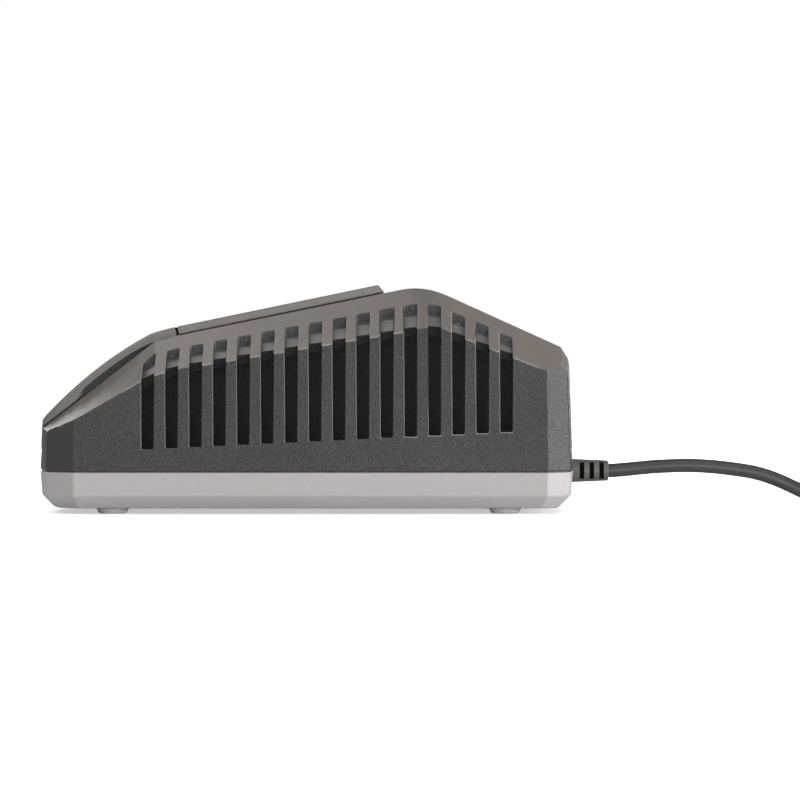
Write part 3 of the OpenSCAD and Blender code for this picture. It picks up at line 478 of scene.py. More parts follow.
def printed_sleeve(name, colour, band):
    """Shrunk sleeve of a capacitor, with its polarity band."""
    f = Finish(name, coat=0.3)
    wrinkle = f.noise(0.003)
    paint = f.blend(f.spread(wrinkle, 0.0, 0.3), colour, band)
    return f.done(paint, f.spread(wrinkle, 0.22, 0.34), f.bump(wrinkle, WRINKLE_DEPTH))


def clear_lens(name, colour):
    f = Finish(name, transmission=0.55, ior=ACRYLIC_IOR)
    frost = f.noise(0.0008, 2.0)
    paint = f.blend(f.spread(frost), shade(colour, 0.92), colour)
    return f.done(paint, f.spread(frost, 0.08, 0.2), f.bump(frost, FROST_DEPTH))


RECIPES = {
    "housing_grain": lambda n: eroded_plastic(n, mouldings().housing_colour, 0.5, mottle=0.75,
                                              glint=0.5, specular=0.55),
    # Smoother satin on the housing's roundings, with a lighter colour that paints highlight lines
    # on them
    "housing_edge": lambda n: satin_plastic(n, shade(mouldings().housing_colour, 2.4), 0.33),
    "housing_satin": lambda n: satin_plastic(n, mouldings().polished_colour, warm=0.02),
    "housing_dull": lambda n: satin_plastic(n, shade(mouldings().housing_colour, 2.3), 0.5),
    "cover_satin": lambda n: satin_plastic(n, (0.125, 0.117, 0.112), 0.4),
    # A lighter copy of the polished finish: painted light on the vents' ledges
    "housing_ledge": lambda n: satin_plastic(n, (0.25, 0.238, 0.23), 0.45),
    # Light satin on the rounding under the shoulder: a painted highlight line
    "housing_rim": lambda n: satin_plastic(n, (0.23, 0.21, 0.2), 0.3),
    "dock_satin": lambda n: satin_plastic(n, (0.16, 0.146, 0.137), 0.38),
    "dock_grain": lambda n: eroded_plastic(n, mouldings().housing_colour, 0.6),
    "tray_grain": lambda n: eroded_plastic(n, mouldings().tray_colour, 0.5, mottle=0.03,
                                           depth=0.00003),
    # Black of the inner parts, also put on the faces under the vents' ledges as painted shade
    "inner_black": lambda n: eroded_plastic(n, (0.0118, 0.0117, 0.0116), 0.65, specular=0.35),
    # Black without gloss, painted as shade in gaps and in the sleeve's slots
    "gap_black": lambda n: eroded_plastic(n, (0.009, 0.009, 0.009), 0.8, specular=0.0),
    "fan_black": lambda n: satin_plastic(n, (0.02, 0.02, 0.021), 0.38),
    "foot_rubber": lambda n: rubber(n, mouldings().foot_colour),
    "lead_sheath": lambda n: rubber(n, lead_colour(), 0.42, 0.45),
    "sleeve_rubber": lambda n: rubber(n, shade(lead_colour(), 2.4), 0.5, 0.45),
    "contact_tin": lambda n: metal(n, (0.72, 0.6, 0.38), 0.25),
    "zinc_screw": lambda n: metal(n, (0.6, 0.61, 0.62), 0.28),
    "board_mask": lambda n: laminate(n, (0.02, 0.11, 0.045)),
    "ferrite": lambda n: eroded_plastic(n, (0.03, 0.03, 0.033), 0.7, size=0.0004),
    "enamel_wire": lambda n: wound_wire(n, (0.62, 0.27, 0.1)),
    "capacitor_sleeve": lambda n: printed_sleeve(n, (0.015, 0.03, 0.12), (0.3, 0.32, 0.36)),
    "film_yellow": lambda n: satin_plastic(n, (0.55, 0.36, 0.03), 0.3),
    "fuse_glass": lambda n: clear_lens(n, (0.8, 0.86, 0.86)),
    "relay_blue": lambda n: satin_plastic(n, (0.02, 0.07, 0.3), 0.35),
    "black_anodised": lambda n: metal(n, (0.05, 0.05, 0.055), 0.42),
    "lens_clear": lambda n: clear_lens(n, (0.82, 0.86, 0.84)),
    "wire_red": lambda n: satin_plastic(n, (0.32, 0.012, 0.01), 0.4),
    "wire_brown": lambda n: satin_plastic(n, (0.09, 0.035, 0.015), 0.4),
}

# Finish of each CAD piece that shows as it is
CARRIED = {
    "terminal_block": "inner_black", "terminal_blades": "contact_tin",
    "circuit_board": "board_mask", "transformer_core": "ferrite",
    "transformer_winding": "enamel_wire", "bulk_capacitors": "capacitor_sleeve",
    "output_capacitors": "capacitor_sleeve", "filter_choke": "enamel_wire",
    "film_capacitor": "film_yellow", "mains_fuse": "fuse_glass", "output_relay": "relay_blue",
    "heat_sinks": "black_anodised", "power_transistors": "inner_black",
    "insulation_sheet": "inner_black", "indicator_board": "board_mask",
    "indicator_leds": "lens_clear", "indicator_cable": "inner_black",
    "fan_frame": "inner_black", "output_leads": "wire_red", "mains_leads": "wire_brown",
    "cord_clamp": "inner_black", "plug_pins": "contact_tin",
}


# ---- mesh helpers

# Distance in m at which points of a CAD piece count as one
MERGE = 2e-5
# Angles in degrees: facets of one flat wall, facets of one curved wall, and a hard edge
FLAT_WALL, CURVED_WALL, HARD_EDGE = 0.7, 14, 24
# Length of edge that a rounding takes up, in radii: beside a flat edge, and beside another
ROOM_FLAT, ROOM = 1.2, 2.3


def show(mesh, name, finishes=(), body=CASE):
    """An object for the mesh, at the origin, riding on a body."""
    mesh.name = name
    piece = placed(name, mesh)
    for f in finishes:
        mesh.materials.append(finish(f))
    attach(piece, body)
    return piece


def kept(work, name, finishes):
    """A piece made of the faces in work."""
    mesh = bpy.data.meshes.new(name)
    work.to_mesh(mesh)
    work.free()
    return show(mesh, name, finishes)


def soften(mesh, angle):
    """Smooth shading with hard edges over the angle, in degrees."""
    mesh.shade_smooth()
    mesh.set_sharp_from_angle(angle=math.radians(angle))


def rounded(work, radius, segments, sharp):
    """Rounds the edges that have room for it, and returns the faces of the roundings."""
    keen = math.radians(sharp)

    def free(edge):
        flat = edge.is_manifold and edge.calc_face_angle(0.0) < 0.02
        return edge.calc_length() > radius * (ROOM_FLAT if flat else ROOM)

    picked = [e for e in work.edges
              if e.is_manifold and e.calc_face_angle(0.0) > keen
              and all(free(n) for v in e.verts for n in v.link_edges)]
    made = bmesh.ops.bevel(work, geom=picked, offset=radius, offset_type="OFFSET",
                           segments=segments, profile=0.5, affect="EDGES", clamp_overlap=False)
    return set(made["faces"])


def wall_normals(work, bands):
    """Corner normals that keep walls flat up to their roundings, which turn between them."""
    near = math.cos(math.radians(CURVED_WALL))
    work.normal_update()
    areas = {face: face.calc_area() for face in work.faces}

    def wall(face, vert):
        alike = [f.normal * areas[f] for f in vert.link_faces
                 if f not in bands and f.normal.dot(face.normal) > near]
        return sum(alike, Vector()).normalized() if alike else face.normal

    def corner(face, loop):
        if face not in bands:
            return wall(face, loop.vert)
        beside = [f for e in (loop.edge, loop.link_loop_prev.edge) for f in e.link_faces
                  if f not in bands]
        if beside:
            return sum((wall(f, loop.vert) for f in beside), Vector()).normalized()
        around = [f.normal * areas[f] for f in loop.vert.link_faces if f in bands]
        return sum(around, Vector()).normalized()

    return [corner(face, loop) for face in work.faces for loop in face.loops]


def moulding(node, name, finishes, radius, segments=2, sharp=HARD_EDGE, rule=None):
    """A copy of a CAD piece with its facets joined and its edges rounded.

    rule gives a face's place in finishes, from the face and whether it is on a rounding.
    """
    work = bmesh.new()
    work.from_mesh(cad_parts[node].data)
    bmesh.ops.remove_doubles(work, verts=work.verts, dist=MERGE)
    bmesh.ops.dissolve_degenerate(work, edges=work.edges, dist=MERGE)
    bmesh.ops.dissolve_limit(work, angle_limit=math.radians(FLAT_WALL), verts=work.verts,
                             edges=work.edges)
    bands = rounded(work, radius, segments, sharp)
    normals = wall_normals(work, bands)
    work.faces.index_update()
    edges = {face.index for face in bands}
    piece = kept(work, name, finishes)
    mesh = piece.data
    if rule:
        for face in mesh.polygons:
            face.material_index = rule(face, face.index in edges)
    mesh.shade_smooth()
    mesh.normals_split_custom_set(normals)
    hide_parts(node)
    return piece


def skin(work, rings):
    """Skin over rings of points: a single point closes an end, and a ring there is filled."""
    steps = max(len(ring) for ring in rings)
    for low, high in zip(rings, rings[1:]):
        for k in range(steps):
            j = (k + 1) % steps
            loop = [low[k % len(low)], low[j % len(low)], high[j % len(high)], high[k % len(high)]]
            loop = list(dict.fromkeys(loop))
            if len(loop) > 2:
                work.faces.new(loop)
    for ring in (rings[0][::-1], rings[-1]):
        if len(ring) > 2:
            work.faces.new(ring)
    bmesh.ops.recalc_face_normals(work, faces=work.faces)


def turned(profile, steps, name, finishes, at):
    """A lathe piece on an upright axis, where its profile of (height, radius) starts and ends."""
    work = bmesh.new()
    angles = [2 * math.pi * k / steps for k in range(steps)]
    skin(work, [[work.verts.new((r * math.cos(a), r * math.sin(a), z))
                 for a in (angles if r else [0.0])] for z, r in profile])
    bmesh.ops.transform(work, matrix=Matrix.Translation(at), verts=work.verts)
    piece = kept(work, name, finishes)
    soften(piece.data, 40)
    return piece


def smooth_line(points, step):
    """Points about a step apart along a smooth curve through the given ones."""
    points = [Vector(p) for p in points]
    padded = [points[0] * 2 - points[1], *points, points[-1] * 2 - points[-2]]
    out = []
    for i in range(1, len(padded) - 2):
        a, b, c, d = padded[i - 1:i + 3]
        count = max(1, round((c - b).length / step))
        for k in range(count):
            t = k / count
            out.append(0.5 * (2 * b + (c - a) * t + (2 * a - 5 * b + 4 * c - d) * t * t
                              + (3 * b - a - 3 * c + d) * t ** 3))
    out.append(points[-1])
    return out


def tube(points, radius, sides, name, finishes):
    """A round tube along points, with closed ends."""
    work = bmesh.new()
    rings = []
    side = None
    for i, p in enumerate(points):
        along = (points[min(i + 1, len(points) - 1)] - points[max(i - 1, 0)]).normalized()
        if side is None:
            side = along.orthogonal()
        side = (side - along * side.dot(along)).normalized()
        up = along.cross(side)
        rings.append([work.verts.new(p + radius * (math.cos(a) * side + math.sin(a) * up))
                      for a in (2 * math.pi * k / sides for k in range(sides))])
    skin(work, rings)
    piece = kept(work, name, finishes)
    soften(piece.data, 50)
    return piece


# ---- operators

class CHARGER_OT_studio(bpy.types.Operator):
    """Sets up the camera, the floor and the soft lights"""
    bl_idname = "charger.studio"
    bl_label = "Studio"

    SENSOR = 36.0
    NEAR_SIDE = -0.062
    VIEW_CENTRE = (0.0368, 0.04355)
    LIGHT_AIM = Vector((0.0, 0.0, 0.045))
    FLOOR_REACH = 6.0
    # The floor's own glow grows from its middle's x between these distances
    GLOW_MIDDLE, GLOW_NEAR, GLOW_FAR = -0.02, 0.16, 0.42
    # Name, place, width and height of each light, and the setting that holds its power
    LIGHTS = (
        ("overhead", (-0.5, 0.1, 0.9), 0.7, 0.8, "overhead"),
        ("far", (-0.5, 1.65, 0.55), 0.9, 0.5, "far_light"),
        ("back", (0.1, 1.8, 0.2), 0.9, 0.4, "back_light"),
        ("nose", (-0.95, -0.3, 0.75), 0.6, 0.6, "nose_light"),
        ("rear_top", (0.18, -0.5, 0.75), 0.6, 0.25, "lead_light"),
        ("rear", (1.1, -0.12, 0.2), 0.7, 0.35, "rear_light"),
        ("front", (0.05, -1.9, 0.11), 1.5, 0.2, "front_light"),
        ("side", (0.9, -1.6, 0.15), 0.5, 0.25, "side_light"),
    )

    def execute(self, context):
        studio = context.scene.charger_studio
        lens = bpy.data.cameras.new("camera")
        lens.sensor_width = self.SENSOR
        lens.lens = self.SENSOR * studio.camera_distance / studio.frame_width
        lens.clip_start, lens.clip_end = 0.05, 30.0
        camera = placed("camera", lens)
        x, z = self.VIEW_CENTRE
        camera.location = (x, self.NEAR_SIDE - studio.camera_distance, z)
        camera.rotation_euler = (math.pi / 2, 0.0, 0.0)
        context.scene.camera = camera
        self.floor()
        self.sky(context, studio.fill)
        for name, place, width, height, power in self.LIGHTS:
            self.light(name, Vector(place), width, height, getattr(studio, power))
        context.scene.view_settings.view_transform = "Standard"
        return {"FINISHED"}

    def light(self, name, place, width, height, power):
        data = bpy.data.lights.new(name, "AREA")
        data.shape = "RECTANGLE"
        data.size, data.size_y, data.energy = width, height, power
        light = placed(name, data)
        light.location = place
        light.visible_camera = False
        light.rotation_euler = (self.LIGHT_AIM - place).to_track_quat("-Z", "Y").to_euler()

    def floor(self):
        """A pale floor that takes the object's shadow and glows on rays that see it."""
        mesh = bpy.data.meshes.new("floor")
        r = self.FLOOR_REACH
        mesh.from_pydata([(-r, -r, 0), (r, -r, 0), (r, r, 0), (-r, r, 0)], [], [(0, 1, 2, 3)])
        floor = placed("floor", mesh)
        f = Finish("floor_white", specular=0.2)
        spot = f.node("ShaderNodeMapping", _0=f.place, Location=(self.GLOW_MIDDLE, 0.0, 0.0))
        reach = f.node("ShaderNodeVectorMath", {"operation": "LENGTH"}, out="Value", _0=spot)
        away = f.node("ShaderNodeMapRange", {"interpolation_type": "SMOOTHSTEP"}, Value=reach,
                      From_Min=self.GLOW_NEAR, From_Max=self.GLOW_FAR, To_Min=0.0, To_Max=1.0)
        f.done((0.93, 0.93, 0.93), 0.8)
        glow = f.node("ShaderNodeEmission", Color=WHITE,
                      Strength=(away * 0.5 + 0.5) * self.seen(f))
        mixed = f.node("ShaderNodeAddShader", _0=Signal(f.tree, f.shader.outputs[0]), _1=glow)
        f.tree.links.new(mixed.socket, f.tree.nodes["Material Output"].inputs[0])
        mesh.materials.append(f.material)

    def sky(self, context, fill):
        """A white background over an even light all round."""
        world = bpy.data.worlds.new("studio")
        context.scene.world = world
        world.use_nodes = True
        tree = world.node_tree
        tree.nodes.clear()
        sky = Graph(tree)
        even = sky.node("ShaderNodeBackground", Color=WHITE, Strength=fill)
        white = sky.node("ShaderNodeBackground", Color=WHITE, Strength=1.0)
        both = sky.node("ShaderNodeMixShader", _0=self.seen(sky), _1=even, _2=white)
        out = tree.nodes.new("ShaderNodeOutputWorld")
        tree.links.new(both.socket, out.inputs[0])

    def seen(self, f):
        """1 on rays from the camera, and through glass."""
        rays = f.tree.nodes.new("ShaderNodeLightPath")
        camera = Signal(f.tree, rays.outputs["Is Camera Ray"])
        through = Signal(f.tree, rays.outputs["Is Transmission Ray"])
        return (camera + through).clamp()


class CHARGER_OT_lead(bpy.types.Operator):
    """Lays the mains lead from the sleeve to its coil and the plug"""
    bl_idname = "charger.lead"
    bl_label = "Mains lead"

    STEP = 3.0  # mm between two rings of the sheath
    SIDES = 12
    CLEARANCE = 0.00001  # m between the sheath and the table
    PER_TURN = 24
    CROSSING = 0.25  # share of each turn in which the lead moves over to the next one

    def execute(self, context):
        lead = context.scene.charger_lead
        route = [Vector(p) for p in LEAD_ROUTE] + self.turns() + [Vector(p) for p in TAIL_ROUTE]
        points = [p * MM for p in smooth_line(route, self.STEP)]
        for point in points:
            point.z = max(point.z, lead.diameter / 2 + self.CLEARANCE)
        length = sum((b - a).length for a, b in zip(points, points[1:]))
        piece = tube(points, lead.diameter / 2, self.SIDES, "lead", ["lead_sheath"])
        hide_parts("cord_lead", "cord_coil", "cord_tail")
        return {"FINISHED"}

    def turns(self):
        """Four turns inwards on the table, then four outwards on top of them."""
        cx, cy = COIL_CENTRE
        low, high = COIL_LAYERS
        plan = [(r, low) for r in COIL_RADII] + [(r, high) for r in reversed(COIL_RADII)]
        last = len(plan) - 1
        out = []
        for k in range(self.PER_TURN * len(plan) - self.PER_TURN // 4 + 1):
            turn, share = divmod(k / self.PER_TURN, 1.0)
            r, z = plan[min(int(turn), last)]
            next_r, next_z = plan[min(int(turn) + 1, last)]
            ease = max(0.0, (share - 1.0 + self.CROSSING) / self.CROSSING)
            r, z = r + (next_r - r) * ease, z + (next_z - z) * ease
            a = -math.pi / 2 + 2 * math.pi * k / self.PER_TURN
            out.append(Vector((cx + r * math.cos(a), cy + r * math.sin(a), z)))
        return out


class CHARGER_OT_plug(bpy.types.Operator):
    """Makes the plug's body"""
    bl_idname = "charger.plug"
    bl_label = "Plug"

    def execute(self, context):
        piece = moulding("plug_body", "plug", ["lead_sheath"], 0.0012, segments=3, sharp=14)
        return {"FINISHED"}


class CHARGER_OT_housing(bpy.types.Operator):
    """Rounds and finishes the vented housing"""
    bl_idname = "charger.housing"
    bl_label = "Housing"

    # Finishes of the housing's faces; look marks which of them stand for painted shade or
    # highlights
    LOOKS = ["housing_grain", "housing_satin", "housing_dull", "housing_edge", "inner_black",
             "housing_ledge", "housing_rim"]
    GRAIN, SATIN, DULL, EDGE, BLACK, LEDGE, RIM = range(7)
    # Places in m and areas in m2 that tell the housing's faces apart
    # Faces under the vents' ledges lie at LIP_Y and take black as painted shade
    LIP_Y, LIP_SPREAD, LIP_AREA = 0.0528, 0.0005, 6e-5
    FOOT_EDGE_Z = 0.029
    STEP_X, STEP_Y, STEP_Z = -0.0845, 0.0345, 0.03
    RIM_Y = 0.05
    FRONT_X = -0.09
    LEDGE_X, LEDGE_Y, LEDGE_AREA = -0.065, (0.048, 0.0525), 3e-5
    LAST_VENT, VENT_PITCH = 0.0773, 0.0091

    def execute(self, context):
        piece = moulding("top_housing", "housing", self.LOOKS,
                         context.scene.charger_mouldings.edge_radius, rule=self.look)
        return {"FINISHED"}

    def look(self, face, edge):
        """The face's place in LOOKS; edge says whether it is on a rounding."""
        x, y, z = face.center
        y = abs(y)
        lean = face.normal
        lip = abs(lean.y) > (0.25 if edge else 0.95) and face.area < self.LIP_AREA
        # Faces under the vents' ledges: black, painted shade in the slots
        if lip and abs(y - self.LIP_Y) < self.LIP_SPREAD:
            return self.BLACK
        # Roundings at the vents' feet: smoother satin, lighter as a painted highlight
        if edge and z < self.FOOT_EDGE_Z:
            return self.EDGE
        if y < self.STEP_Y and x < self.STEP_X and z > self.STEP_Z and lean.z > -0.3:
            return self.SATIN
        # Painted highlight on the rounding between the shoulder and the side
        if edge and y > self.RIM_Y and 0.2 < lean.z < 0.75:
            return self.RIM
        if lean.z > 0.3:
            # Vent ledges take a lighter copy of the polished finish, as painted light
            return self.LEDGE if self.ledge(face, x, y) and not edge else self.SATIN
        if lean.x < -0.3 and x < self.FRONT_X:
            return self.DULL
        # Other roundings likewise: smoother satin, lighter as a painted highlight
        return self.EDGE if edge else self.GRAIN

    def ledge(self, face, x, y):
        """Whether the face is the step in a vent's pocket."""
        vent = (x - self.LAST_VENT) / self.VENT_PITCH
        low, high = self.LEDGE_Y
        inner = low < y < high and x > self.LEDGE_X and face.area < self.LEDGE_AREA
        return inner and abs(vent - round(vent)) < 0.12


class CHARGER_OT_tray(bpy.types.Operator):
    """Rounds and finishes the base tray and its feet"""
    bl_idname = "charger.tray"
    bl_label = "Base tray"

    def execute(self, context):
        piece = moulding("base_shell", "tray", ["tray_grain"], 0.0006)
        return {"FINISHED"}


class CHARGER_OT_feet(bpy.types.Operator):
    """Turns the four rubber feet"""
    bl_idname = "charger.feet"
    bl_label = "Rubber feet"

    # Height of each ring of the foot, and how far it lies in from the foot's radius, in m
    PROFILE = ((0.0, 0.0021), (0.00012, 0.00155), (0.0005, 0.0011), (0.0016, 0.0006),
               (0.0021, 0.0001), (0.0023, 0.0))

    def execute(self, context):
        for node in ("foot_front_left", "foot_front_right", "foot_rear_left", "foot_rear_right"):
            low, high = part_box(node)
            r = (high[0] - low[0]) / 2
            profile = [(0.0, 0.0), *((z, r - inset) for z, inset in self.PROFILE),
                       (high[2], r), (high[2], 0.0)]
            middle = ((low[0] + high[0]) / 2, (low[1] + high[1]) / 2, low[2])
            piece = turned(profile, 40, node.replace("foot", "pad"), ["foot_rubber"], middle)
            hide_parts(node)
        return {"FINISHED"}


class CHARGER_OT_nose(bpy.types.Operator):
    """Rounds and finishes the nose cover and its lenses"""
    bl_idname = "charger.nose"
    bl_label = "Nose cover"

    # Reach in |y| of the cover's wall, of the rib behind it and of the painted-shade strip in the
    # joint, in mm
    WALL, RIB, STRIP = (33.92, 34.03), (31.46, 33.91), (21.6, 31.3)
    # How far wall, rib and the wall's foot lie below the top of the cover, in mm
    WALL_DROP, RIB_DROP, FOOT_DROP = 1.2, 1.7, 2.75
    # The wall covers the housing's step between these, and the rib starts here, in mm
    STEP_SPAN, RIB_START = (-88.6, -66.0), -85.0
    WALL_END, RIB_END = (-50.12, 70.6), (-50.1, 70.1)
    TAIL_X, STRIP_Y = -0.0515, 0.0314

    def execute(self, context):
        piece = moulding("nose_cover", "cover", ["cover_satin", "gap_black"], 0.0002, sharp=16,
                         rule=self.tail)
        self.sides()
        lenses = moulding("indicator_lenses", "lenses", ["lens_clear"], 0.0004)
        return {"FINISHED"}

    def sides(self):
        """Side walls of the cover, over the housing's step and onto its shoulder, with a
        painted-shade strip in the joint.
        """
        foot = COVER_FOOT + self.lowered(self.FOOT_DROP, *self.STEP_SPAN)[::-1]
        wall = self.lowered(self.WALL_DROP) + [self.WALL_END] + foot + COVER_FRONT
        rib = self.lowered(self.RIB_DROP, self.RIB_START) + [self.RIB_END] + foot
        work = bmesh.new()
        for side in (-1, 1):
            for line, (near, far) in ((wall, self.WALL), (rib, self.RIB), (COVER_LIP, self.STRIP)):
                skin(work, [[work.verts.new((x * MM, y * side * MM, z * MM)) for x, z in line]
                            for y in (near, far)])
        piece = kept(work, "cover_sides", ["cover_satin", "gap_black"])
        for face in piece.data.polygons:
            # The joint strip and the cover's end by the rails take painted shade
            face.material_index = int(abs(face.center.y) < self.STRIP_Y or self.tail(face))

    def tail(self, face, edge=False):
        """1, painted shade, on the end that stands close to the dock's rails."""
        return int(face.normal.x > 0.7 and face.center.x > self.TAIL_X)

    def lowered(self, depth, start=-200.0, stop=-50.2):
        """The nose line let down square to itself, from start to stop."""
        out = []
        last = len(NOSE_LINE) - 1
        for i, (x, z) in enumerate(NOSE_LINE):
            (x0, z0), (x1, z1) = NOSE_LINE[max(i - 1, 0)], NOSE_LINE[min(i + 1, last)]
            run = math.hypot(x1 - x0, z1 - z0)
            x, z = x + depth * (z1 - z0) / run, z - depth * (x1 - x0) / run
            if start < x < stop:
                out.append((x, z))
        return out


class CHARGER_OT_dock(bpy.types.Operator):
    """Rounds and finishes the dock with its rails"""
    bl_idname = "charger.dock"
    bl_label = "Battery dock"

    def execute(self, context):
        piece = moulding("dock_insert", "dock", ["dock_satin"], 0.0005)
        return {"FINISHED"}


class CHARGER_OT_sleeve(bpy.types.Operator):
    """Grows the tapered, slotted sleeve of the lead"""
    bl_idname = "charger.sleeve"
    bl_label = "Strain relief"

    # Width and depth of the slots, and of the plates of painted shade laid in them, in m
    SLOT, FLOOR = (0.012, 0.004), (0.0067, 0.0001)
    AROUND, ALONG = 48, 160
    LAST_RIB_STEP = 0.0005

    def execute(self, context):
        rings = context.scene.charger_lead.ring_count
        low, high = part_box("strain_relief")
        centre = (low[0], (low[1] + high[1]) / 2, (low[2] + high[2]) / 2)
        upright = (0.0, math.pi / 2, 0.0)
        p = self.tree("slotted_sleeve", high[0] - low[0])
        body = p.cut(self.body(p), self.slots(p, *self.SLOT), solver="EXACT")
        p.result = p.moved(body, centre, upright)
        piece = p.run([(0, 0, 0)], "sleeve", "sleeve_rubber", angle=38, Rib_count=rings)
        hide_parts("strain_relief")
        # Plates of painted shade on the slots' floors, so the slots read black
        p = self.tree("slot_floors", high[0] - low[0])
        p.result = p.moved(self.slots(p, *self.FLOOR), centre, upright)
        floors = p.run([(0, 0, 0)], "sleeve_floors", "gap_black", Rib_count=rings)
        return {"FINISHED"}

    def tree(self, name, length):
        return Pattern(name, Rib_count=4, Rib_pitch=0.0039, Rib_width=0.0021, Rib_radius=0.00462,
                       Neck_radius=0.0031, Taper=0.036, First_rib=0.0072, Web=0.0046,
                       Flange_radius=0.006, Flange_length=0.002, Length=length)

    def body(self, p):
        """The sleeve before it is slotted, along +Z."""
        neck, pitch, first = p.size("Neck radius"), p.size("Rib pitch"), p.size("First rib")
        line = p.node("GeometryNodeCurvePrimitiveLine", Start=p.point(),
                      End=p.point(z=p.size("Length")))
        line = p.node("GeometryNodeResampleCurve", _0=line, Count=self.ALONG)
        along = p.position("Z")
        cone = p.size("Rib radius") * (1.0 - (along - first) / pitch * p.size("Taper"))
        end = first + pitch * (p.size("Rib count") - 1.0) + p.size("Rib width")
        share = ((end - along) / self.LAST_RIB_STEP).clamp()
        share = share * share * (3.0 - share * 2.0)
        radius = neck + (cone - neck) * share
        flange = p.size("Flange length") > along
        radius = radius + (p.size("Flange radius") - radius) * flange
        line = p.node("GeometryNodeSetCurveRadius", _0=line, Radius=radius)
        ring = p.node("GeometryNodeCurvePrimitiveCircle", Resolution=self.AROUND, Radius=1.0)
        return p.node("GeometryNodeCurveToMesh", Curve=line, Profile_Curve=ring, Scale=radius,
                      Fill_Caps=True)

    def slots(self, p, across, depth):
        """Blocks between the ribs, on both sides of the web that joins them."""
        gap = p.size("Rib pitch") - p.size("Rib width")
        block = p.node("GeometryNodeMeshCube", Size=p.point(across, depth, gap))
        first = p.size("First rib") + p.size("Rib width") + gap * 0.5
        rows = [p.node("GeometryNodeMeshLine", Count=p.size("Rib count") - 1.0,
                       Start_Location=p.point(y=(p.size("Web") + depth) * side, z=first),
                       Offset=p.point(z=p.size("Rib pitch"))) for side in (-0.5, 0.5)]
        blocks = p.scattered(p.joined(*rows), block)
        return p.node("GeometryNodeRealizeInstances", Geometry=blocks)


class CHARGER_OT_screws(bpy.types.Operator):
    """Sets the pan-head screws of the case, the board, the dock and the clamp"""
    bl_idname = "charger.screws"
    bl_label = "Screws"

    # Node: name, shank radius, shank length, head radius, head height, head faces down, tilt
    SETS = {
        "housing_screws": ("case_screws", 0.00138, 0.020, 0.003, 0.0022, True, 0.0),
        "board_screws": ("board_fixings", 0.001, 0.006, 0.0026, 0.0018, False, 0.0),
        "dock_screws": ("dock_fixings", 0.00125, 0.004, 0.002, 0.0016, True, 11.7),
        "clamp_screws": ("clamp_fixings", 0.00115, 0.013, 0.0024, 0.0018, False, 0.0),
    }
    # Shares of the head's radius, then of its height
    DOME_TOP, RECESS_SPAN, RECESS_WIDTH = 0.7, 1.1, 0.26
    SKIRT, RECESS_HEIGHT, SINK = 0.5, 0.95, 0.2

    def execute(self, context):
        for node, facts in self.SETS.items():
            name, shank, length, head, height, down, tilt = facts
            places = self.seats(node, height, down, math.radians(tilt))
            turn = (math.pi if down else 0.0, math.radians(tilt) * (1 if down else -1), 0.0)
            piece = self.tree().run(places, name, "zinc_screw", angle=35, Shank_radius=shank,
                                    Shank_length=length, Head_radius=head, Head_height=height,
                                    Recess_width=head * self.RECESS_WIDTH, Turn=turn)
            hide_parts(node)
        return {"FINISHED"}

    def seats(self, node, height, down, tilt):
        """Where the heads rest, from the loose parts of the CAD piece."""
        work = bmesh.new()
        work.from_mesh(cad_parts[node].data)
        bmesh.ops.remove_doubles(work, verts=work.verts, dist=1e-6)
        left = set(work.verts)
        seats = []
        axis = Vector((-math.sin(tilt), 0.0, math.cos(tilt)))
        while left:
            island = [left.pop()]
            for vert in island:
                for edge in vert.link_edges:
                    other = edge.other_vert(vert)
                    if other in left:
                        left.remove(other)
                        island.append(other)
            along = [v.co.dot(axis) for v in island]
            middle = Vector([(min(v.co[i] for v in island) + max(v.co[i] for v in island)) / 2
                             for i in range(3)])
            seat = min(along) + height if down else max(along) - height
            seats.append(middle + axis * (seat - middle.dot(axis)))
        work.free()
        return seats

    def tree(self):
        p = Pattern("pan_head_screw", Shank_radius=0.001, Shank_length=0.01, Head_radius=0.003,
                    Head_height=0.002, Recess_width=0.0008, Turn=(0.0, 0.0, 0.0))
        r, h = p.size("Head radius"), p.size("Head height")
        step = h * self.SKIRT
        dome = p.node("GeometryNodeMeshCone", Vertices=28, Radius_Top=r * self.DOME_TOP,
                      Radius_Bottom=r, Depth=step)
        head = p.union(p.drum(r, step, sides=28), p.moved(dome, p.point(z=step)))
        size = p.point(r * self.RECESS_SPAN, p.size("Recess width"), h)
        bar = p.moved(p.node("GeometryNodeMeshCube", Size=size), p.point(z=h * self.RECESS_HEIGHT))
        across = p.moved(bar, rotation=(0.0, 0.0, math.pi / 2))
        head = p.cut(head, p.union(bar, across))
        length = p.size("Shank length")
        shank = p.drum(p.size("Shank radius"), length + h * self.SINK, length * -1.0, 24)
        p.result = p.scattered(p.places, p.union(head, shank), p.size("Turn"))
        return p


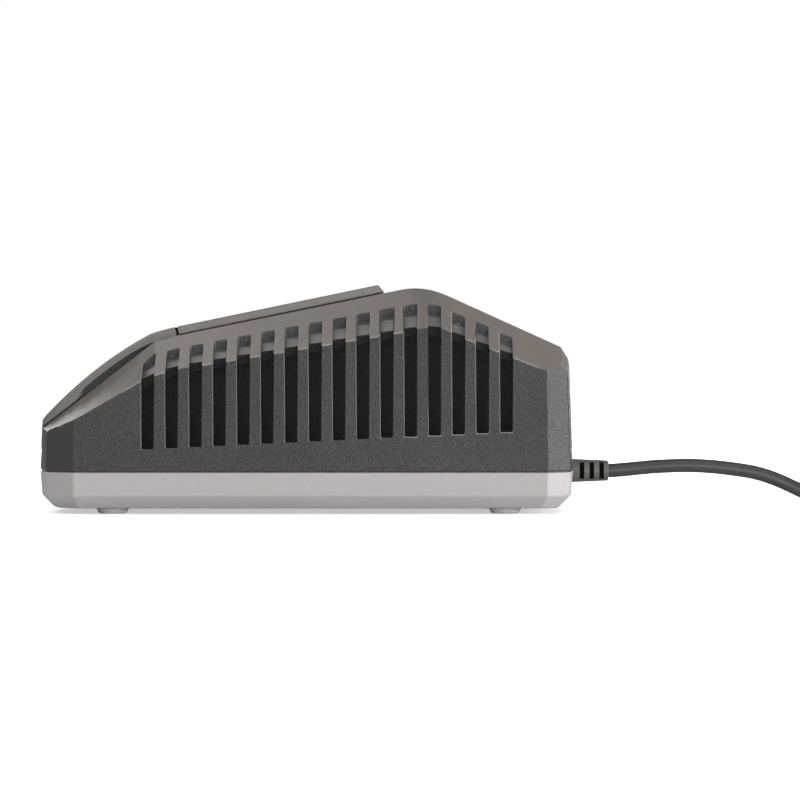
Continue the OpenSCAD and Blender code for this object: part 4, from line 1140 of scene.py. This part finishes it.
class CHARGER_OT_fan(bpy.types.Operator):
    """Grows the cooling fan's impeller"""
    bl_idname = "charger.fan"
    bl_label = "Fan impeller"

    AROUND = 48
    # Chamfer of the hub's cup and its wall, then height and foot of its parts, in m
    CHAMFER, WALL = 0.0006, 0.0012
    CUP, ROOM, SHAFT = (0.0068, -0.0029), (0.006, -0.0035), (0.0076, -0.0041)
    SHAFT_RADIUS = 0.00099
    # How much wider and steeper the blade is at its root than at its tip
    WIDTHS, PITCHES, LEAN = (1.25, 0.9), (1.05, 0.75), 0.16

    def execute(self, context):
        (x0, _, z0), (x1, _, z1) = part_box("fan_rotor")
        (_, y0, _), (_, y1, _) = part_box("fan_frame")
        centre = ((x0 + x1) / 2, (y0 + y1) / 2, (z0 + z1) / 2)
        p = Pattern("impeller", Blade_count=7, Hub_radius=0.009, Tip_radius=0.0181,
                    Root_overlap=0.0004, Sweep=0.62, Rise=0.0062, Thickness=0.0009)
        turn = p.point(z=p.node("GeometryNodeInputIndex") * (2 * math.pi) / p.size("Blade count"))
        ring = p.node("GeometryNodePoints", Count=p.size("Blade count"), Radius=0.001)
        blades = p.scattered(ring, self.blade(p), turn)
        whole = p.moved(p.joined(blades, self.hub(p)), rotation=(-math.pi / 2, 0.0, 0.0))
        p.result = p.scattered(p.places, whole)
        piece = p.run([centre], "fan_wheel", "fan_black", body=IMPELLER, angle=40)
        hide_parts("fan_rotor")
        return {"FINISHED"}

    def blade(self, p):
        """One swept, pitched blade with its thickness."""
        flat = p.node("GeometryNodeMeshGrid", Size_X=1.0, Size_Y=1.0, Vertices_X=9, Vertices_Y=9)
        u, v = p.position("X") + 0.5, p.position("Y")
        (width, tip_width), (pitch, tip_pitch) = self.WIDTHS, self.PITCHES
        root = p.size("Hub radius") - p.size("Root overlap")
        reach = root + (p.size("Tip radius") - root) * u
        angle = v * p.size("Sweep") * (width - u * (width - tip_width)) + u * u * self.LEAN
        rise = v * p.size("Rise") * (pitch - u * (pitch - tip_pitch)) * -1.0
        place = p.point(reach * reach.maths("COSINE", angle, 0.0),
                        reach * reach.maths("SINE", angle, 0.0), rise)
        under = p.node("GeometryNodeSetPosition", Geometry=flat, Position=place)
        top = p.node("GeometryNodeExtrudeMesh", Mesh=under, Offset_Scale=p.size("Thickness"),
                     Individual=False)
        under = p.node("GeometryNodeFlipFaces", Mesh=under)
        return p.node("GeometryNodeMergeByDistance", Geometry=p.joined(top, under),
                      Distance=0.000001)

    def hub(self, p):
        """The cup that carries the blades, open at the back, and the shaft in it."""
        r = p.size("Hub radius")
        front = p.node("GeometryNodeMeshCone", Vertices=self.AROUND, Depth=self.CHAMFER,
                       Radius_Top=r - self.CHAMFER, Radius_Bottom=r)
        cup = p.drum(r, *self.CUP, self.AROUND)
        cup = p.union(cup, p.moved(front, (0.0, 0.0, sum(self.CUP))))
        cup = p.cut(cup, p.drum(r - self.WALL, *self.ROOM, self.AROUND))
        return p.joined(cup, p.drum(self.SHAFT_RADIUS, *self.SHAFT, 20))


class CHARGER_OT_innards(bpy.types.Operator):
    """Finishes the pieces that show as the frame holds them"""
    bl_idname = "charger.innards"
    bl_label = "Inner parts"

    def execute(self, context):
        for node, name in CARRIED.items():
            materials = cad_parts[node].data.materials
            for i in range(len(materials)):
                materials[i] = finish(name)
            if not len(materials):
                materials.append(finish(name))
        return {"FINISHED"}


OPERATORS = (
    CHARGER_OT_studio, CHARGER_OT_plug, CHARGER_OT_lead, CHARGER_OT_housing, CHARGER_OT_tray,
    CHARGER_OT_feet, CHARGER_OT_nose, CHARGER_OT_dock, CHARGER_OT_sleeve, CHARGER_OT_screws,
    CHARGER_OT_fan, CHARGER_OT_innards,
)


class CHARGER_PT_panel(bpy.types.Panel):
    """Lists the charger's sizes and the steps that build it"""
    bl_label = "Battery charger"
    bl_idname = "CHARGER_PT_panel"
    bl_space_type = "VIEW_3D"
    bl_region_type = "UI"
    bl_category = "Charger"

    def draw(self, context):
        for group in ("charger_mouldings", "charger_lead", "charger_studio"):
            box = self.layout.box()
            settings = getattr(context.scene, group)
            for name in settings.__class__.__annotations__:
                box.prop(settings, name)
        for operator in OPERATORS:
            self.layout.operator(operator.bl_idname)


CLASSES = (ChargerMouldings, ChargerLead, ChargerStudio, *OPERATORS, CHARGER_PT_panel)


def register():
    for cls in CLASSES:
        bpy.utils.register_class(cls)
    bpy.types.Scene.charger_mouldings = PointerProperty(type=ChargerMouldings)
    bpy.types.Scene.charger_lead = PointerProperty(type=ChargerLead)
    bpy.types.Scene.charger_studio = PointerProperty(type=ChargerStudio)


def unregister():
    del bpy.types.Scene.charger_studio
    del bpy.types.Scene.charger_lead
    del bpy.types.Scene.charger_mouldings
    for cls in reversed(CLASSES):
        bpy.utils.unregister_class(cls)


def main():
    register()
    for operator in OPERATORS:
        group, name = operator.bl_idname.split(".")
        getattr(getattr(bpy.ops, group), name)()


if __name__ == "__main__":
    main()
